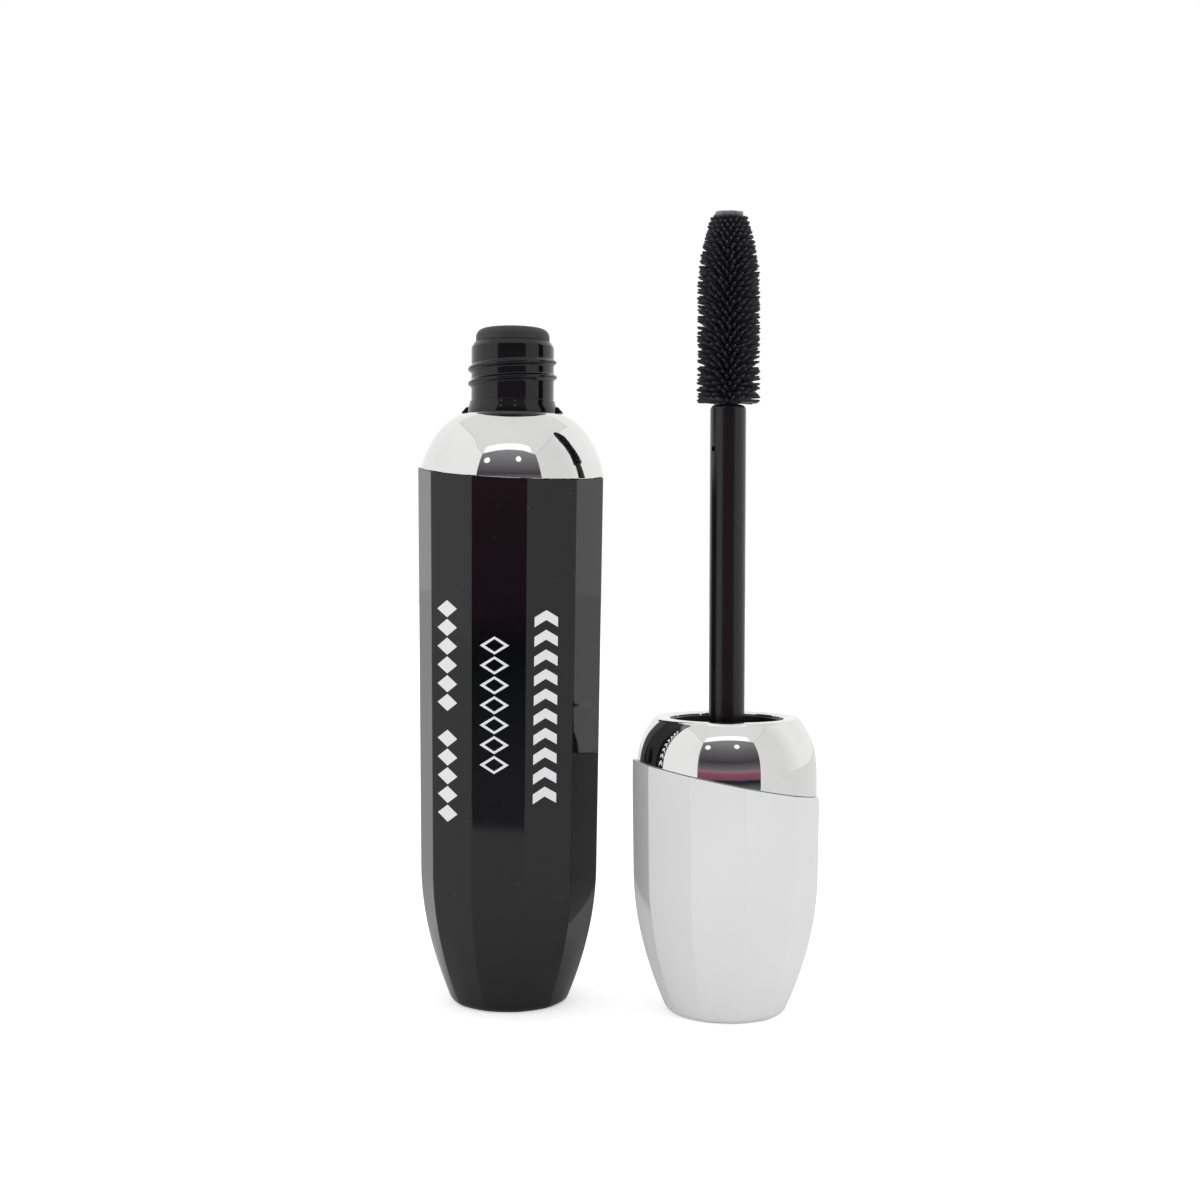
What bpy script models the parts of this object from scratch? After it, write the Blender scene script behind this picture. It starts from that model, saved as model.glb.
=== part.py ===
"""Mascara tube, opened: the bottle stands beside its cap, which rests on its closed end, wand up."""

from math import cos, hypot, pi, radians, sin, tau

import bmesh
import bpy
from mathutils import Matrix, Vector

# Fits
CLEARANCE = 0.0003
BRUSH_ROOM = 0.00036
THREAD_PLAY = 0.0004

# Faceted outside of the bottle and the cap
FACETS = 11
POINTS_PER_FACET = 3
BOTTLE_CORNER_ANGLE = radians(-78.5)
CAP_CORNER_ANGLE = radians(-82.5)
END_LENGTH = 0.020
END_POWER = 1.94
END_EDGE = 0.0008
END_ROUNDNESS = 0.75
END_ROUND_HEIGHT = 0.012
END_STEPS = 7
EDGE_MIDDLE = 1 - cos(pi / 4)
SPLIT_PASSES = 4

# Bottle shell and shoulder
BOTTLE_LOW_RADIUS = 0.01292
BOTTLE_TOP_RADIUS = 0.01362
BOTTLE_END_DROP = 0.0046
SHELL_WALL = 0.0012
SHELL_FLOOR = 0.0015
SHOULDER_START = 0.0753
SHOULDER_HEIGHT = 0.0096
SHOULDER_INSET = 0.00017
SHOULDER_RISE = 1.6
SHOULDER_FALL = 0.58
SHOULDER_WALL = 0.0012
SHOULDER_STEPS = 7
SHOULDER_SPLIT_ABOVE_START = 0.0013
SHOULDER_SPLIT_SLOPE = (-0.0444, 0.1185)
SKIRT_DEPTH = 0.0045
SKIRT_WALL = 0.0010

# Cap shell and collar
CAP_POSITION = Vector((0.0310, -0.0051, 0.0))
CAP_HEIGHT = 0.0416
CAP_LOW_RADIUS = 0.01318
CAP_TOP_RADIUS = 0.01338
CAP_END_DROP = 0.0049
CAP_WALL = 0.0013
CAP_FLOOR = 0.0016
COLLAR_HEIGHT = 0.0100
COLLAR_INSET = 0.00058
COLLAR_POWER = 3.4
COLLAR_WALL = 0.0013
COLLAR_STEPS = 7
COLLAR_SPLIT_BELOW_RIM = 0.00865
COLLAR_SPLIT_SLOPE = (-0.1917, -0.0338)
COLLAR_SKIRT_DEPTH = 0.0040
COLLAR_MOUTH_DEPTH = 0.0022
COLLAR_OPEN_DEPTH = 0.0055
RIM_WIDTH = 0.00212
RIM_CHAMFER = 0.00068
RIM_EDGE = 0.00016

# Wand
ROD_RADIUS = 0.00255
ROD_WALL = 0.00075
ROD_TOP_ROUNDING = 0.0006
ROD_ROOT_SOLID = 0.0085
WINDOW_RADIUS = 0.00032
WINDOW_BELOW_ROD_TOP = 0.0063
WINDOW_ANGLE = radians(-146.0)
WINDOW_SIDES = 12
SHANK_LENGTH = 0.0110
CORE_WALL = 0.0004
BRUSH_LENGTH = 0.0276
BRUSH_RADIUS = 0.00464
BRUSH_TAPER_LENGTH = 0.0120
BRUSH_TAPER_POWER = 1.9
BRUSH_STEPS = 6
TIP_PLUG_LENGTH = 0.0026
TIP_ABOVE_BASE = 0.0125

# Vial, wiper and fill
VIAL_RADIUS = 0.0086
VIAL_WALL = 0.0011
VIAL_FLANGE_THICKNESS = 0.0010
NECK_WALL = 0.0012
NECK_HEIGHT = 0.0104
NECK_TOP_TAPER = 0.0004
FOOT_FLARE = 0.00055
FOOT_HEIGHT = 0.0019
FOOT_BEND = (0.00033, 0.00143)
WIPER_GAP = 0.0005
WIPER_STEP = 0.00065
WIPER_WALL = 0.0007
WIPER_DEPTH = 0.0110
WIPER_CONE_HEIGHT = 0.0030
WIPER_LIP_INSET = 0.0007
WIPER_LIP_HEIGHT = 0.0017
WIPER_LIP_ROUNDING = 0.0012
WIPER_MOUTH_EDGE = 0.0002
FILL_LEVEL = 0.0580
FILL_UNDER_TIP = 0.0022

# Thread of the neck and the cap, single start and right-handed
PITCH = 0.0254 / 12
THREAD_DEPTH = 0.00058
THREAD_ROOT_HALF = 0.00052
THREAD_CREST_HALF = 0.00014
THREAD_SINK = 0.0003
THREAD_LOW_ABOVE_SHOULDER = 0.00423
THREAD_START_ANGLE = radians(160.0)
THREAD_TURN = radians(575.0)
THREAD_ENGAGEMENT = 0.00028
THREAD_START_GAP = radians(20.0)
THREAD_RUN_OUT_STEPS = 3
THREAD_LEAST_FULLNESS = 0.3
CAP_THREAD_TURN = radians(330.0)
CLOSING_TURN = radians(355.0)

# Inner cap and seal
INNER_CAP_WALL = 0.00085
INNER_CAP_RECESS = 0.0006
INNER_CAP_FLANGE = 0.0012
SOCKET_DEPTH = 0.0132
SOCKET_WALL = 0.00155
SEAL_THICKNESS = 0.0010

# Smoothness of the round pieces
ROUND_STEPS = 28
SMALL_STEPS = 20
ROUNDING_STEPS = 4
MERGE_DISTANCE = 1e-6
SHARP_ANGLE = radians(35.0)

# Sizes that follow from the ones above
HALF_FACET = pi / FACETS
SHOULDER_TOP = SHOULDER_START + SHOULDER_HEIGHT
SHOULDER_BASE_RADIUS = BOTTLE_TOP_RADIUS - SHOULDER_INSET
BOTTLE_SPLIT = SHOULDER_START + SHOULDER_SPLIT_ABOVE_START
ROD_BORE = ROD_RADIUS - ROD_WALL
SHANK_RADIUS = ROD_BORE - CLEARANCE
CORE_BORE = SHANK_RADIUS - CORE_WALL
TIP_PLUG_RADIUS = CORE_BORE - CLEARANCE
WIPER_ORIFICE = ROD_RADIUS + WIPER_GAP
WIPER_BORE = WIPER_ORIFICE + WIPER_STEP
WIPER_RADIUS = WIPER_BORE + WIPER_WALL
NECK_BORE = WIPER_RADIUS + CLEARANCE
NECK_RADIUS = NECK_BORE + NECK_WALL
NECK_TOP = SHOULDER_TOP + NECK_HEIGHT
WIPER_LIP_RADIUS = NECK_RADIUS - WIPER_LIP_INSET
FOOT_RADIUS = NECK_RADIUS + FOOT_FLARE
SHOULDER_HOLE = FOOT_RADIUS + CLEARANCE
THREAD_CREST = NECK_RADIUS + THREAD_DEPTH
CAP_BORE = THREAD_CREST + THREAD_PLAY
INNER_CAP_RADIUS = CAP_BORE + INNER_CAP_WALL
CAP_OPENING = INNER_CAP_RADIUS + CLEARANCE
RIM_INNER = CAP_OPENING + RIM_CHAMFER
RIM_RADIUS = CAP_OPENING + RIM_WIDTH
CAP_SPLIT = CAP_HEIGHT - COLLAR_SPLIT_BELOW_RIM
COLLAR_START = CAP_HEIGHT - COLLAR_HEIGHT
COLLAR_BASE_RADIUS = CAP_TOP_RADIUS - COLLAR_INSET
LIP_TOP = NECK_TOP + CLEARANCE + WIPER_LIP_HEIGHT
CLOSING_RISE = PITCH * CLOSING_TURN / tau
TURNOVER_ANGLE = CAP_POSITION.xy.angle_signed(Vector((1.0, 0.0))) + pi / 2


def bottle_radius(height):
    """Corner radius of the bottle shell's outside."""
    if height < END_LENGTH:
        return BOTTLE_LOW_RADIUS - BOTTLE_END_DROP * (1 - height / END_LENGTH) ** END_POWER
    share = (height - END_LENGTH) / (SHOULDER_START - END_LENGTH)
    return BOTTLE_LOW_RADIUS + share * (BOTTLE_TOP_RADIUS - BOTTLE_LOW_RADIUS)


def shoulder_radius(height):
    """Radius of the round shoulder's outside."""
    share = min(1.0, max(0.0, (height - SHOULDER_START) / SHOULDER_HEIGHT))
    fall = (1 - share**SHOULDER_RISE) ** SHOULDER_FALL
    return SHOULDER_HOLE + (SHOULDER_BASE_RADIUS - SHOULDER_HOLE) * fall


def shoulder_height_at(radius):
    """Height at which the shoulder's curve has narrowed to this radius."""
    fall = (radius - SHOULDER_HOLE) / (SHOULDER_BASE_RADIUS - SHOULDER_HOLE)
    return SHOULDER_START + SHOULDER_HEIGHT * (1 - fall ** (1 / SHOULDER_FALL)) ** (1 / SHOULDER_RISE)


def cap_radius(height):
    """Corner radius of the cap shell's outside, measured up from its closed end."""
    if height < END_LENGTH:
        return CAP_LOW_RADIUS - CAP_END_DROP * (1 - height / END_LENGTH) ** END_POWER
    share = min(1.0, (height - END_LENGTH) / (COLLAR_START - END_LENGTH))
    return CAP_LOW_RADIUS + share * (CAP_TOP_RADIUS - CAP_LOW_RADIUS)


def collar_radius(height):
    """Radius of the round collar's outside."""
    share = max(0.0, (height - COLLAR_START) / COLLAR_HEIGHT)
    return COLLAR_BASE_RADIUS - (COLLAR_BASE_RADIUS - RIM_RADIUS) * share**COLLAR_POWER


def end_roundness(height):
    """How far the facets have melted into a circle near a closed end."""
    return END_ROUNDNESS * max(0.0, 1 - height / END_ROUND_HEIGHT)


def full_roundness(height):
    """A form that is a circle at every height."""
    return 1.0


# Heights that follow from the outlines
CLOSED_RIM = shoulder_height_at(RIM_INNER) + CLEARANCE
WAND_REACH = CLOSED_RIM - TIP_ABOVE_BASE
WAND_TIP = CAP_HEIGHT + WAND_REACH
ROD_TOP = WAND_TIP - BRUSH_LENGTH
SEAL_FACE = CAP_HEIGHT + CLOSED_RIM - LIP_TOP - CLEARANCE
CAP_BORE_FLOOR = SEAL_FACE - SEAL_THICKNESS - CLEARANCE
SOCKET_FLOOR = CAP_BORE_FLOOR - SOCKET_DEPTH
ROD_ROOT = SOCKET_FLOOR + CLOSING_RISE + 2 * CLEARANCE
COLLAR_SKIRT_END = CAP_SPLIT - COLLAR_SKIRT_DEPTH
SKIRT_END = BOTTLE_SPLIT - SKIRT_DEPTH


class Outside:
    """A faceted or round outer form: its radius and roundness by height, and where its corners lie."""

    def __init__(self, radius, roundness, corner_angle):
        self.radius = radius
        self.roundness = roundness
        self.corner_angle = corner_angle

    def point(self, angle, height, inset):
        corner = self.radius(height) - inset
        off_corner = (angle - self.corner_angle) % (2 * HALF_FACET) - HALF_FACET
        flat = corner * cos(HALF_FACET) / cos(off_corner)
        reach = flat + (corner - flat) * self.roundness(height)
        return Vector((reach * cos(angle), reach * sin(angle), height))

    def angles(self):
        count = FACETS * POINTS_PER_FACET
        return [self.corner_angle + tau * step / count for step in range(count)]

    def ring(self, height, inset=0.0):
        return [self.point(angle, height, inset) for angle in self.angles()]

    def round_ring(self, radius, height):
        return [Vector((radius * cos(angle), radius * sin(angle), height)) for angle in self.angles()]

    def split_height(self, angle, split, slope, inset):
        """Height of the tilted split plane where it meets the outside at this angle."""
        height = split
        for _ in range(SPLIT_PASSES):
            point = self.point(angle, height, inset)
            height = split + slope[0] * point.x + slope[1] * point.y
        return height

    def split_ring(self, split, slope, inset=0.0, towards=0.0, share=0.0):
        """The ring along the tilted split, or a share of the way from there to a level height."""
        ring = []
        for angle in self.angles():
            start = self.split_height(angle, split, slope, inset)
            ring.append(self.point(angle, start + share * (towards - start), inset))
        return ring

    def room(self, height, inset):
        """Radius of a circle that fits inside the ring at this height."""
        return (self.radius(height) - inset) * cos(HALF_FACET)


bottle_outside = Outside(bottle_radius, end_roundness, BOTTLE_CORNER_ANGLE)
shoulder_outside = Outside(shoulder_radius, full_roundness, BOTTLE_CORNER_ANGLE)
cap_outside = Outside(cap_radius, end_roundness, CAP_CORNER_ANGLE)
collar_outside = Outside(collar_radius, full_roundness, CAP_CORNER_ANGLE)


def clear_scene():
    for obj in list(bpy.data.objects):
        bpy.data.objects.remove(obj, do_unlink=True)


def make_material(name, colour, roughness, metallic=0.0):
    material = bpy.data.materials.new(name)
    material.use_nodes = True
    shader = material.node_tree.nodes["Principled BSDF"]
    shader.inputs["Base Color"].default_value = (*colour, 1.0)
    shader.inputs["Roughness"].default_value = roughness
    shader.inputs["Metallic"].default_value = metallic
    return material


def make_object(name, form, material, parent):
    bmesh.ops.recalc_face_normals(form, faces=form.faces)
    mesh = bpy.data.meshes.new(name)
    form.to_mesh(mesh)
    form.free()
    mesh.shade_smooth()
    mesh.set_sharp_from_angle(angle=SHARP_ANGLE)
    if material:
        mesh.materials.append(material)
    obj = bpy.data.objects.new(name, mesh)
    bpy.context.collection.objects.link(obj)
    obj.parent = parent
    return obj


def make_axis(name, position):
    """An empty on a joint's axis, to which the pieces that share the axis are parented."""
    axis = bpy.data.objects.new(name, None)
    axis.location = position
    bpy.context.collection.objects.link(axis)
    return axis


def lofted(name, rings, hollow_through, material, parent):
    """A skin over rings of equal count. It is closed by its two end faces, or by joining last to first."""
    form = bmesh.new()
    loops = [[form.verts.new(point) for point in ring] for ring in rings]
    pairs = list(zip(loops, loops[1:]))
    if hollow_through:
        pairs.append((loops[-1], loops[0]))
    else:
        form.faces.new(loops[0])
        form.faces.new(loops[-1])
    for lower, upper in pairs:
        for index in range(len(lower)):
            after = (index + 1) % len(lower)
            form.faces.new((lower[index], lower[after], upper[after], upper[index]))
    return make_object(name, form, material, parent)


def turned(name, outline, steps, material, parent):
    """A round piece from its half outline of (radius, height) points. Off the axis it closes on itself."""
    form = bmesh.new()
    verts = [form.verts.new((radius, 0.0, height)) for radius, height in outline]
    edges = [form.edges.new(pair) for pair in zip(verts, verts[1:])]
    if outline[0][0] > 0 and outline[-1][0] > 0:
        edges.append(form.edges.new((verts[-1], verts[0])))
    bmesh.ops.spin(
        form, geom=verts + edges, cent=(0, 0, 0), axis=(0, 0, 1), angle=tau, steps=steps, use_merge=True
    )
    bmesh.ops.remove_doubles(form, verts=form.verts, dist=MERGE_DISTANCE)
    return make_object(name, form, material, parent)


def helper(obj):
    obj.hide_render = True
    obj.display_type = "WIRE"
    return obj


def add_boolean(obj, operation, other):
    modifier = obj.modifiers.new(other.name, "BOOLEAN")
    modifier.operation = operation
    modifier.solver = "EXACT"
    modifier.object = other


def thread_ridge(name, wall, crest, low_height, start_angle, turn, parent):
    """A helical ridge from wall to crest radius, its ends running out into the wall it stands on."""
    outward = 1 if crest > wall else -1
    sunk = wall - outward * THREAD_SINK
    steps = round(ROUND_STEPS * turn / tau)
    form = bmesh.new()
    sections = []
    for step in range(steps + 1):
        angle = start_angle + turn * step / steps
        height = low_height + PITCH * turn * step / steps / tau
        fullness = min(1.0, min(step, steps - step) / THREAD_RUN_OUT_STEPS)
        tip = sunk + (crest - sunk) * max(THREAD_LEAST_FULLNESS, fullness)
        section = [
            (sunk, -THREAD_ROOT_HALF),
            (tip, -THREAD_CREST_HALF),
            (tip, THREAD_CREST_HALF),
            (sunk, THREAD_ROOT_HALF),
        ]
        turning = Matrix.Rotation(angle, 3, "Z")
        sections.append([form.verts.new(turning @ Vector((r, 0, height + z))) for r, z in section])
    for first, second in zip(sections, sections[1:]):
        for index in range(len(first)):
            after = (index + 1) % len(first)
            form.faces.new((first[index], first[after], second[after], second[index]))
    form.faces.new(sections[0])
    form.faces.new(sections[-1])
    return helper(make_object(name, form, None, parent))


def arc(centre_radius, centre_height, radius, from_angle, to_angle):
    """Outline points along an arc, its angles measured up from straight outward."""
    points = []
    for step in range(ROUNDING_STEPS + 1):
        angle = from_angle + (to_angle - from_angle) * step / ROUNDING_STEPS
        points.append((centre_radius + radius * cos(angle), centre_height + radius * sin(angle)))
    return points


def eased_shares(steps):
    """Shares of the way up a dome, closer together towards its top."""
    return [sin(pi / 2 * step / steps) for step in range(steps)]


def end_heights():
    """Heights of the rings that follow a closed end's curve."""
    rise = END_LENGTH - END_EDGE
    return [END_EDGE + rise * step / END_STEPS for step in range(END_STEPS + 1)]


def inner_end_heights(floor):
    """The fewer heights at which the inside of a closed end has rings, above its floor."""
    return [height for height in end_heights()[::2] if height > floor]


def cup_rings(outside, floor, wall, seat, split, slope):
    """Rings of a cup: up its outside, over the tilted rim, and down its inside past the seat."""
    middle = EDGE_MIDDLE * END_EDGE
    rings = [outside.ring(0.0, END_EDGE), outside.ring(middle, middle)]
    rings += [outside.ring(height) for height in end_heights()]
    rings.append(outside.ring(seat))
    rings.append(outside.split_ring(split, slope))
    rings.append(outside.split_ring(split, slope, wall))
    rings.append(outside.ring(seat, wall))
    rings += [outside.ring(height, wall) for height in reversed(inner_end_heights(floor))]
    rings.append(outside.ring(floor, wall + END_EDGE))
    return rings


def make_outer_shell(material, parent):
    rings = cup_rings(
        bottle_outside, SHELL_FLOOR, SHELL_WALL, SKIRT_END, BOTTLE_SPLIT, SHOULDER_SPLIT_SLOPE
    )
    lofted("outer_shell", rings, False, material, parent)


def make_shoulder_ring(material, parent):
    """The dome between the shell and the neck, with a skirt that plugs into the shell."""
    split = BOTTLE_SPLIT + CLEARANCE
    skirt_outer = SHELL_WALL + CLEARANCE
    skirt_inner = skirt_outer + SKIRT_WALL
    outer = [
        shoulder_outside.split_ring(split, SHOULDER_SPLIT_SLOPE, 0.0, SHOULDER_TOP, share)
        for share in eased_shares(SHOULDER_STEPS)
    ]
    rings = list(outer)
    rings.append(shoulder_outside.round_ring(SHOULDER_HOLE, SHOULDER_TOP))
    rings.append(shoulder_outside.round_ring(SHOULDER_HOLE, SHOULDER_TOP - SHOULDER_WALL))
    for ring in reversed(outer[2:-1:2]):
        rings.append([lowered(point, SHOULDER_WALL) for point in ring])
    rings.append(bottle_outside.ring(SKIRT_END, skirt_inner))
    rings.append(bottle_outside.ring(SKIRT_END, skirt_outer))
    rings.append(bottle_outside.split_ring(split, SHOULDER_SPLIT_SLOPE, skirt_outer))
    lofted("shoulder_ring", rings, True, material, parent)


def lowered(point, wall):
    """A point moved in from the dome's surface: towards the axis and down, each by a wall."""
    scale = 1 - wall / hypot(point.x, point.y)
    return Vector((point.x * scale, point.y * scale, point.z - wall))


def vial_foot():
    """(radius, height) points where the vial's outside follows the inside of the shell's closed end."""
    floor_room = bottle_outside.room(SHELL_FLOOR, SHELL_WALL + END_EDGE)
    foot = [(min(VIAL_RADIUS, floor_room - CLEARANCE), SHELL_FLOOR + CLEARANCE)]
    for height in inner_end_heights(SHELL_FLOOR):
        room = bottle_outside.room(height, SHELL_WALL) - CLEARANCE
        foot.append((min(VIAL_RADIUS, room), height))
    return foot


def make_inner_vial(material, parent):
    """The vial: a tube that follows the shell's foot, a locating flange, and the threaded neck."""
    foot = vial_foot()
    flange_top = SKIRT_END - CLEARANCE
    flange_bottom = flange_top - VIAL_FLANGE_THICKNESS
    flange_radius = bottle_outside.room(flange_bottom, SHELL_WALL) - CLEARANCE
    cone_low = SHOULDER_TOP - SHOULDER_WALL - 2 * VIAL_WALL - (VIAL_RADIUS - FOOT_RADIUS)
    cone_high = SHOULDER_TOP - SHOULDER_WALL - VIAL_WALL
    inside = [(0.0, foot[0][1] + VIAL_WALL)]
    inside += [(radius - VIAL_WALL, height + VIAL_WALL) for radius, height in foot]
    inside += [
        (VIAL_RADIUS - VIAL_WALL, cone_low - VIAL_WALL),
        (NECK_BORE, cone_high - VIAL_WALL),
        (NECK_BORE, NECK_TOP),
    ]
    outside = [
        (NECK_RADIUS - NECK_TOP_TAPER, NECK_TOP),
        (NECK_RADIUS, NECK_TOP - 2 * NECK_TOP_TAPER),
        (NECK_RADIUS, SHOULDER_TOP + FOOT_HEIGHT),
        (NECK_RADIUS + FOOT_BEND[0], SHOULDER_TOP + FOOT_BEND[1]),
        (FOOT_RADIUS, SHOULDER_TOP),
        (FOOT_RADIUS, cone_high),
        (VIAL_RADIUS, cone_low),
        (VIAL_RADIUS, flange_top),
        (flange_radius, flange_top),
        (flange_radius, flange_bottom),
        (VIAL_RADIUS, flange_bottom),
    ]
    outside += reversed(foot)
    outside.append((0.0, foot[0][1]))
    vial = turned("inner_vial", inside + outside, ROUND_STEPS, material, parent)
    low = SHOULDER_TOP + THREAD_LOW_ABOVE_SHOULDER
    ridge = thread_ridge(
        "neck_thread_helper", NECK_RADIUS, THREAD_CREST, low, THREAD_START_ANGLE, THREAD_TURN, parent
    )
    add_boolean(vial, "UNION", ridge)


def make_wiper(material, parent):
    """The soft collar in the neck that wipes the wand, with its lip over the neck's end."""
    lip_bottom = NECK_TOP + CLEARANCE
    sleeve_end = lip_bottom - WIPER_DEPTH
    cone_top = sleeve_end + WIPER_CONE_HEIGHT
    rounding = WIPER_LIP_ROUNDING
    lip_corner = arc(WIPER_LIP_RADIUS - rounding, LIP_TOP - rounding, rounding, pi / 2, 0.0)
    outline = [
        (WIPER_ORIFICE, sleeve_end),
        (WIPER_BORE, cone_top),
        (WIPER_BORE, LIP_TOP - WIPER_MOUTH_EDGE),
        (WIPER_BORE + WIPER_MOUTH_EDGE, LIP_TOP),
        *lip_corner,
        (WIPER_LIP_RADIUS, lip_bottom),
        (WIPER_RADIUS, lip_bottom),
        (WIPER_RADIUS, cone_top),
        (WIPER_ORIFICE + WIPER_WALL, sleeve_end),
    ]
    turned("wiper", outline, ROUND_STEPS, material, parent)


def make_fill(material, parent):
    """The paste, clinging to the vial's wall around the channel that the brush leaves."""
    channel_floor = TIP_ABOVE_BASE - FILL_UNDER_TIP
    channel = BRUSH_RADIUS + BRUSH_ROOM
    gap = VIAL_WALL + CLEARANCE
    outline = [
        (0.0, channel_floor),
        (channel, channel_floor),
        (channel, FILL_LEVEL),
        (VIAL_RADIUS - gap, FILL_LEVEL),
    ]
    foot = [(radius - gap, height + gap) for radius, height in vial_foot()]
    outline += reversed(foot)
    outline.append((0.0, foot[0][1]))
    turned("mascara_fill", outline, SMALL_STEPS, material, parent)


def make_cap_shell(material, parent):
    rings = cup_rings(
        cap_outside, CAP_FLOOR, CAP_WALL, COLLAR_SKIRT_END, CAP_SPLIT, COLLAR_SPLIT_SLOPE
    )
    lofted("cap_shell", rings, False, material, parent)


def make_cap_collar(material, parent):
    """The bright ring round the cap's mouth, with a skirt that plugs into the cap shell."""
    split = CAP_SPLIT + CLEARANCE
    skirt_outer = CAP_WALL + CLEARANCE
    skirt_inner = skirt_outer + COLLAR_WALL
    rings = [
        collar_outside.split_ring(split, COLLAR_SPLIT_SLOPE, 0.0, CAP_HEIGHT, share)
        for share in eased_shares(COLLAR_STEPS)
    ]
    rings.append(collar_outside.round_ring(RIM_RADIUS, CAP_HEIGHT - RIM_EDGE))
    rings.append(collar_outside.round_ring(RIM_RADIUS - RIM_EDGE, CAP_HEIGHT))
    rings.append(collar_outside.round_ring(RIM_INNER, CAP_HEIGHT))
    rings.append(collar_outside.round_ring(CAP_OPENING, CAP_HEIGHT - RIM_CHAMFER))
    rings.append(collar_outside.round_ring(CAP_OPENING, CAP_HEIGHT - COLLAR_MOUTH_DEPTH))
    rings.append(cap_outside.ring(CAP_HEIGHT - COLLAR_OPEN_DEPTH, skirt_inner))
    rings.append(cap_outside.ring(COLLAR_SKIRT_END, skirt_inner))
    rings.append(cap_outside.ring(COLLAR_SKIRT_END, skirt_outer))
    rings.append(cap_outside.split_ring(split, COLLAR_SPLIT_SLOPE, skirt_outer))
    lofted("cap_collar", rings, True, material, parent)


def make_inner_cap(material, parent):
    """The threaded cup inside the cap, with a flange under the collar's skirt and the rod's socket."""
    mouth = CAP_HEIGHT - INNER_CAP_RECESS
    flange_top = COLLAR_SKIRT_END - CLEARANCE
    flange_bottom = flange_top - INNER_CAP_FLANGE
    flange_radius = cap_outside.room(flange_bottom, CAP_WALL) - CLEARANCE
    socket = ROD_RADIUS + CLEARANCE
    outline = [
        (0.0, SOCKET_FLOOR),
        (socket, SOCKET_FLOOR),
        (socket, CAP_BORE_FLOOR),
        (CAP_BORE, CAP_BORE_FLOOR),
        (CAP_BORE, mouth),
        (INNER_CAP_RADIUS, mouth),
        (INNER_CAP_RADIUS, flange_top),
        (flange_radius, flange_top),
        (flange_radius, flange_bottom),
        (INNER_CAP_RADIUS, flange_bottom),
        (INNER_CAP_RADIUS, CAP_BORE_FLOOR - INNER_CAP_FLANGE),
        (socket + SOCKET_WALL, CAP_BORE_FLOOR - INNER_CAP_FLANGE),
        (socket + SOCKET_WALL, SOCKET_FLOOR - INNER_CAP_FLANGE),
        (0.0, SOCKET_FLOOR - INNER_CAP_FLANGE),
    ]
    inner_cap = turned("inner_cap", outline, ROUND_STEPS, material, parent)
    male_low = SHOULDER_TOP + THREAD_LOW_ABOVE_SHOULDER
    male_end_angle = THREAD_START_ANGLE + THREAD_TURN
    low_angle = male_end_angle - tau + THREAD_START_GAP
    low = male_low + PITCH * (low_angle - THREAD_START_ANGLE) / tau + PITCH / 2
    top = low + PITCH * CAP_THREAD_TURN / tau
    start_height = CAP_HEIGHT + CLOSED_RIM + CLOSING_RISE - top
    start_angle = 2 * TURNOVER_ANGLE - (low_angle + CAP_THREAD_TURN)
    ridge = thread_ridge(
        "cap_thread_helper",
        CAP_BORE,
        THREAD_CREST - THREAD_ENGAGEMENT,
        start_height,
        start_angle,
        CAP_THREAD_TURN,
        parent,
    )
    add_boolean(inner_cap, "UNION", ridge)


def make_seal_liner(material, parent):
    """The soft washer that the wiper's lip presses on when the tube is shut."""
    outer = CAP_BORE - CLEARANCE
    inner = ROD_RADIUS + CLEARANCE
    bottom = SEAL_FACE - SEAL_THICKNESS
    outline = [(inner, bottom), (inner, SEAL_FACE), (outer, SEAL_FACE), (outer, bottom)]
    turned("seal_liner", outline, ROUND_STEPS, material, parent)


def make_rod(material, parent):
    """The hollow wand stem, with its small side window near the brush."""
    rounding = ROD_TOP_ROUNDING
    outline = [
        (0.0, ROD_ROOT + ROD_ROOT_SOLID),
        (ROD_BORE, ROD_ROOT + ROD_ROOT_SOLID),
        (ROD_BORE, ROD_TOP),
        *arc(ROD_RADIUS - rounding, ROD_TOP - rounding, rounding, pi / 2, 0.0),
        (ROD_RADIUS, ROD_ROOT),
        (0.0, ROD_ROOT),
    ]
    rod = turned("rod", outline, ROUND_STEPS, material, parent)
    cutter_form = bmesh.new()
    bmesh.ops.create_cone(
        cutter_form,
        cap_ends=True,
        segments=WINDOW_SIDES,
        radius1=WINDOW_RADIUS,
        radius2=WINDOW_RADIUS,
        depth=2 * ROD_WALL,
    )
    place = Matrix.Rotation(WINDOW_ANGLE, 4, "Z") @ Matrix.Translation((ROD_RADIUS - ROD_WALL / 2, 0, 0))
    bmesh.ops.transform(
        cutter_form, matrix=place @ Matrix.Rotation(pi / 2, 4, "Y"), verts=cutter_form.verts
    )
    cutter = helper(make_object("window_cutter", cutter_form, None, parent))
    cutter.location.z = ROD_TOP - WINDOW_BELOW_ROD_TOP
    add_boolean(rod, "DIFFERENCE", cutter)


def make_brush_core(material, parent):
    """The brush's hollow core, its shank held in the rod's bore."""
    shank_end = ROD_TOP - SHANK_LENGTH
    outline = [
        (CORE_BORE, shank_end),
        (CORE_BORE, WAND_TIP),
        (SHANK_RADIUS, WAND_TIP),
        (SHANK_RADIUS, shank_end),
    ]
    turned("brush_core", outline, SMALL_STEPS, material, parent)


def brush_radius(height):
    """Reach of the bristles by height: full along most of the brush, then a rounded taper to the tip."""
    taper_start = WAND_TIP - BRUSH_TAPER_LENGTH
    share = max(0.0, (height - taper_start) / BRUSH_TAPER_LENGTH)
    return BRUSH_RADIUS - (BRUSH_RADIUS - SHANK_RADIUS - 2 * CLEARANCE) * share**BRUSH_TAPER_POWER


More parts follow.
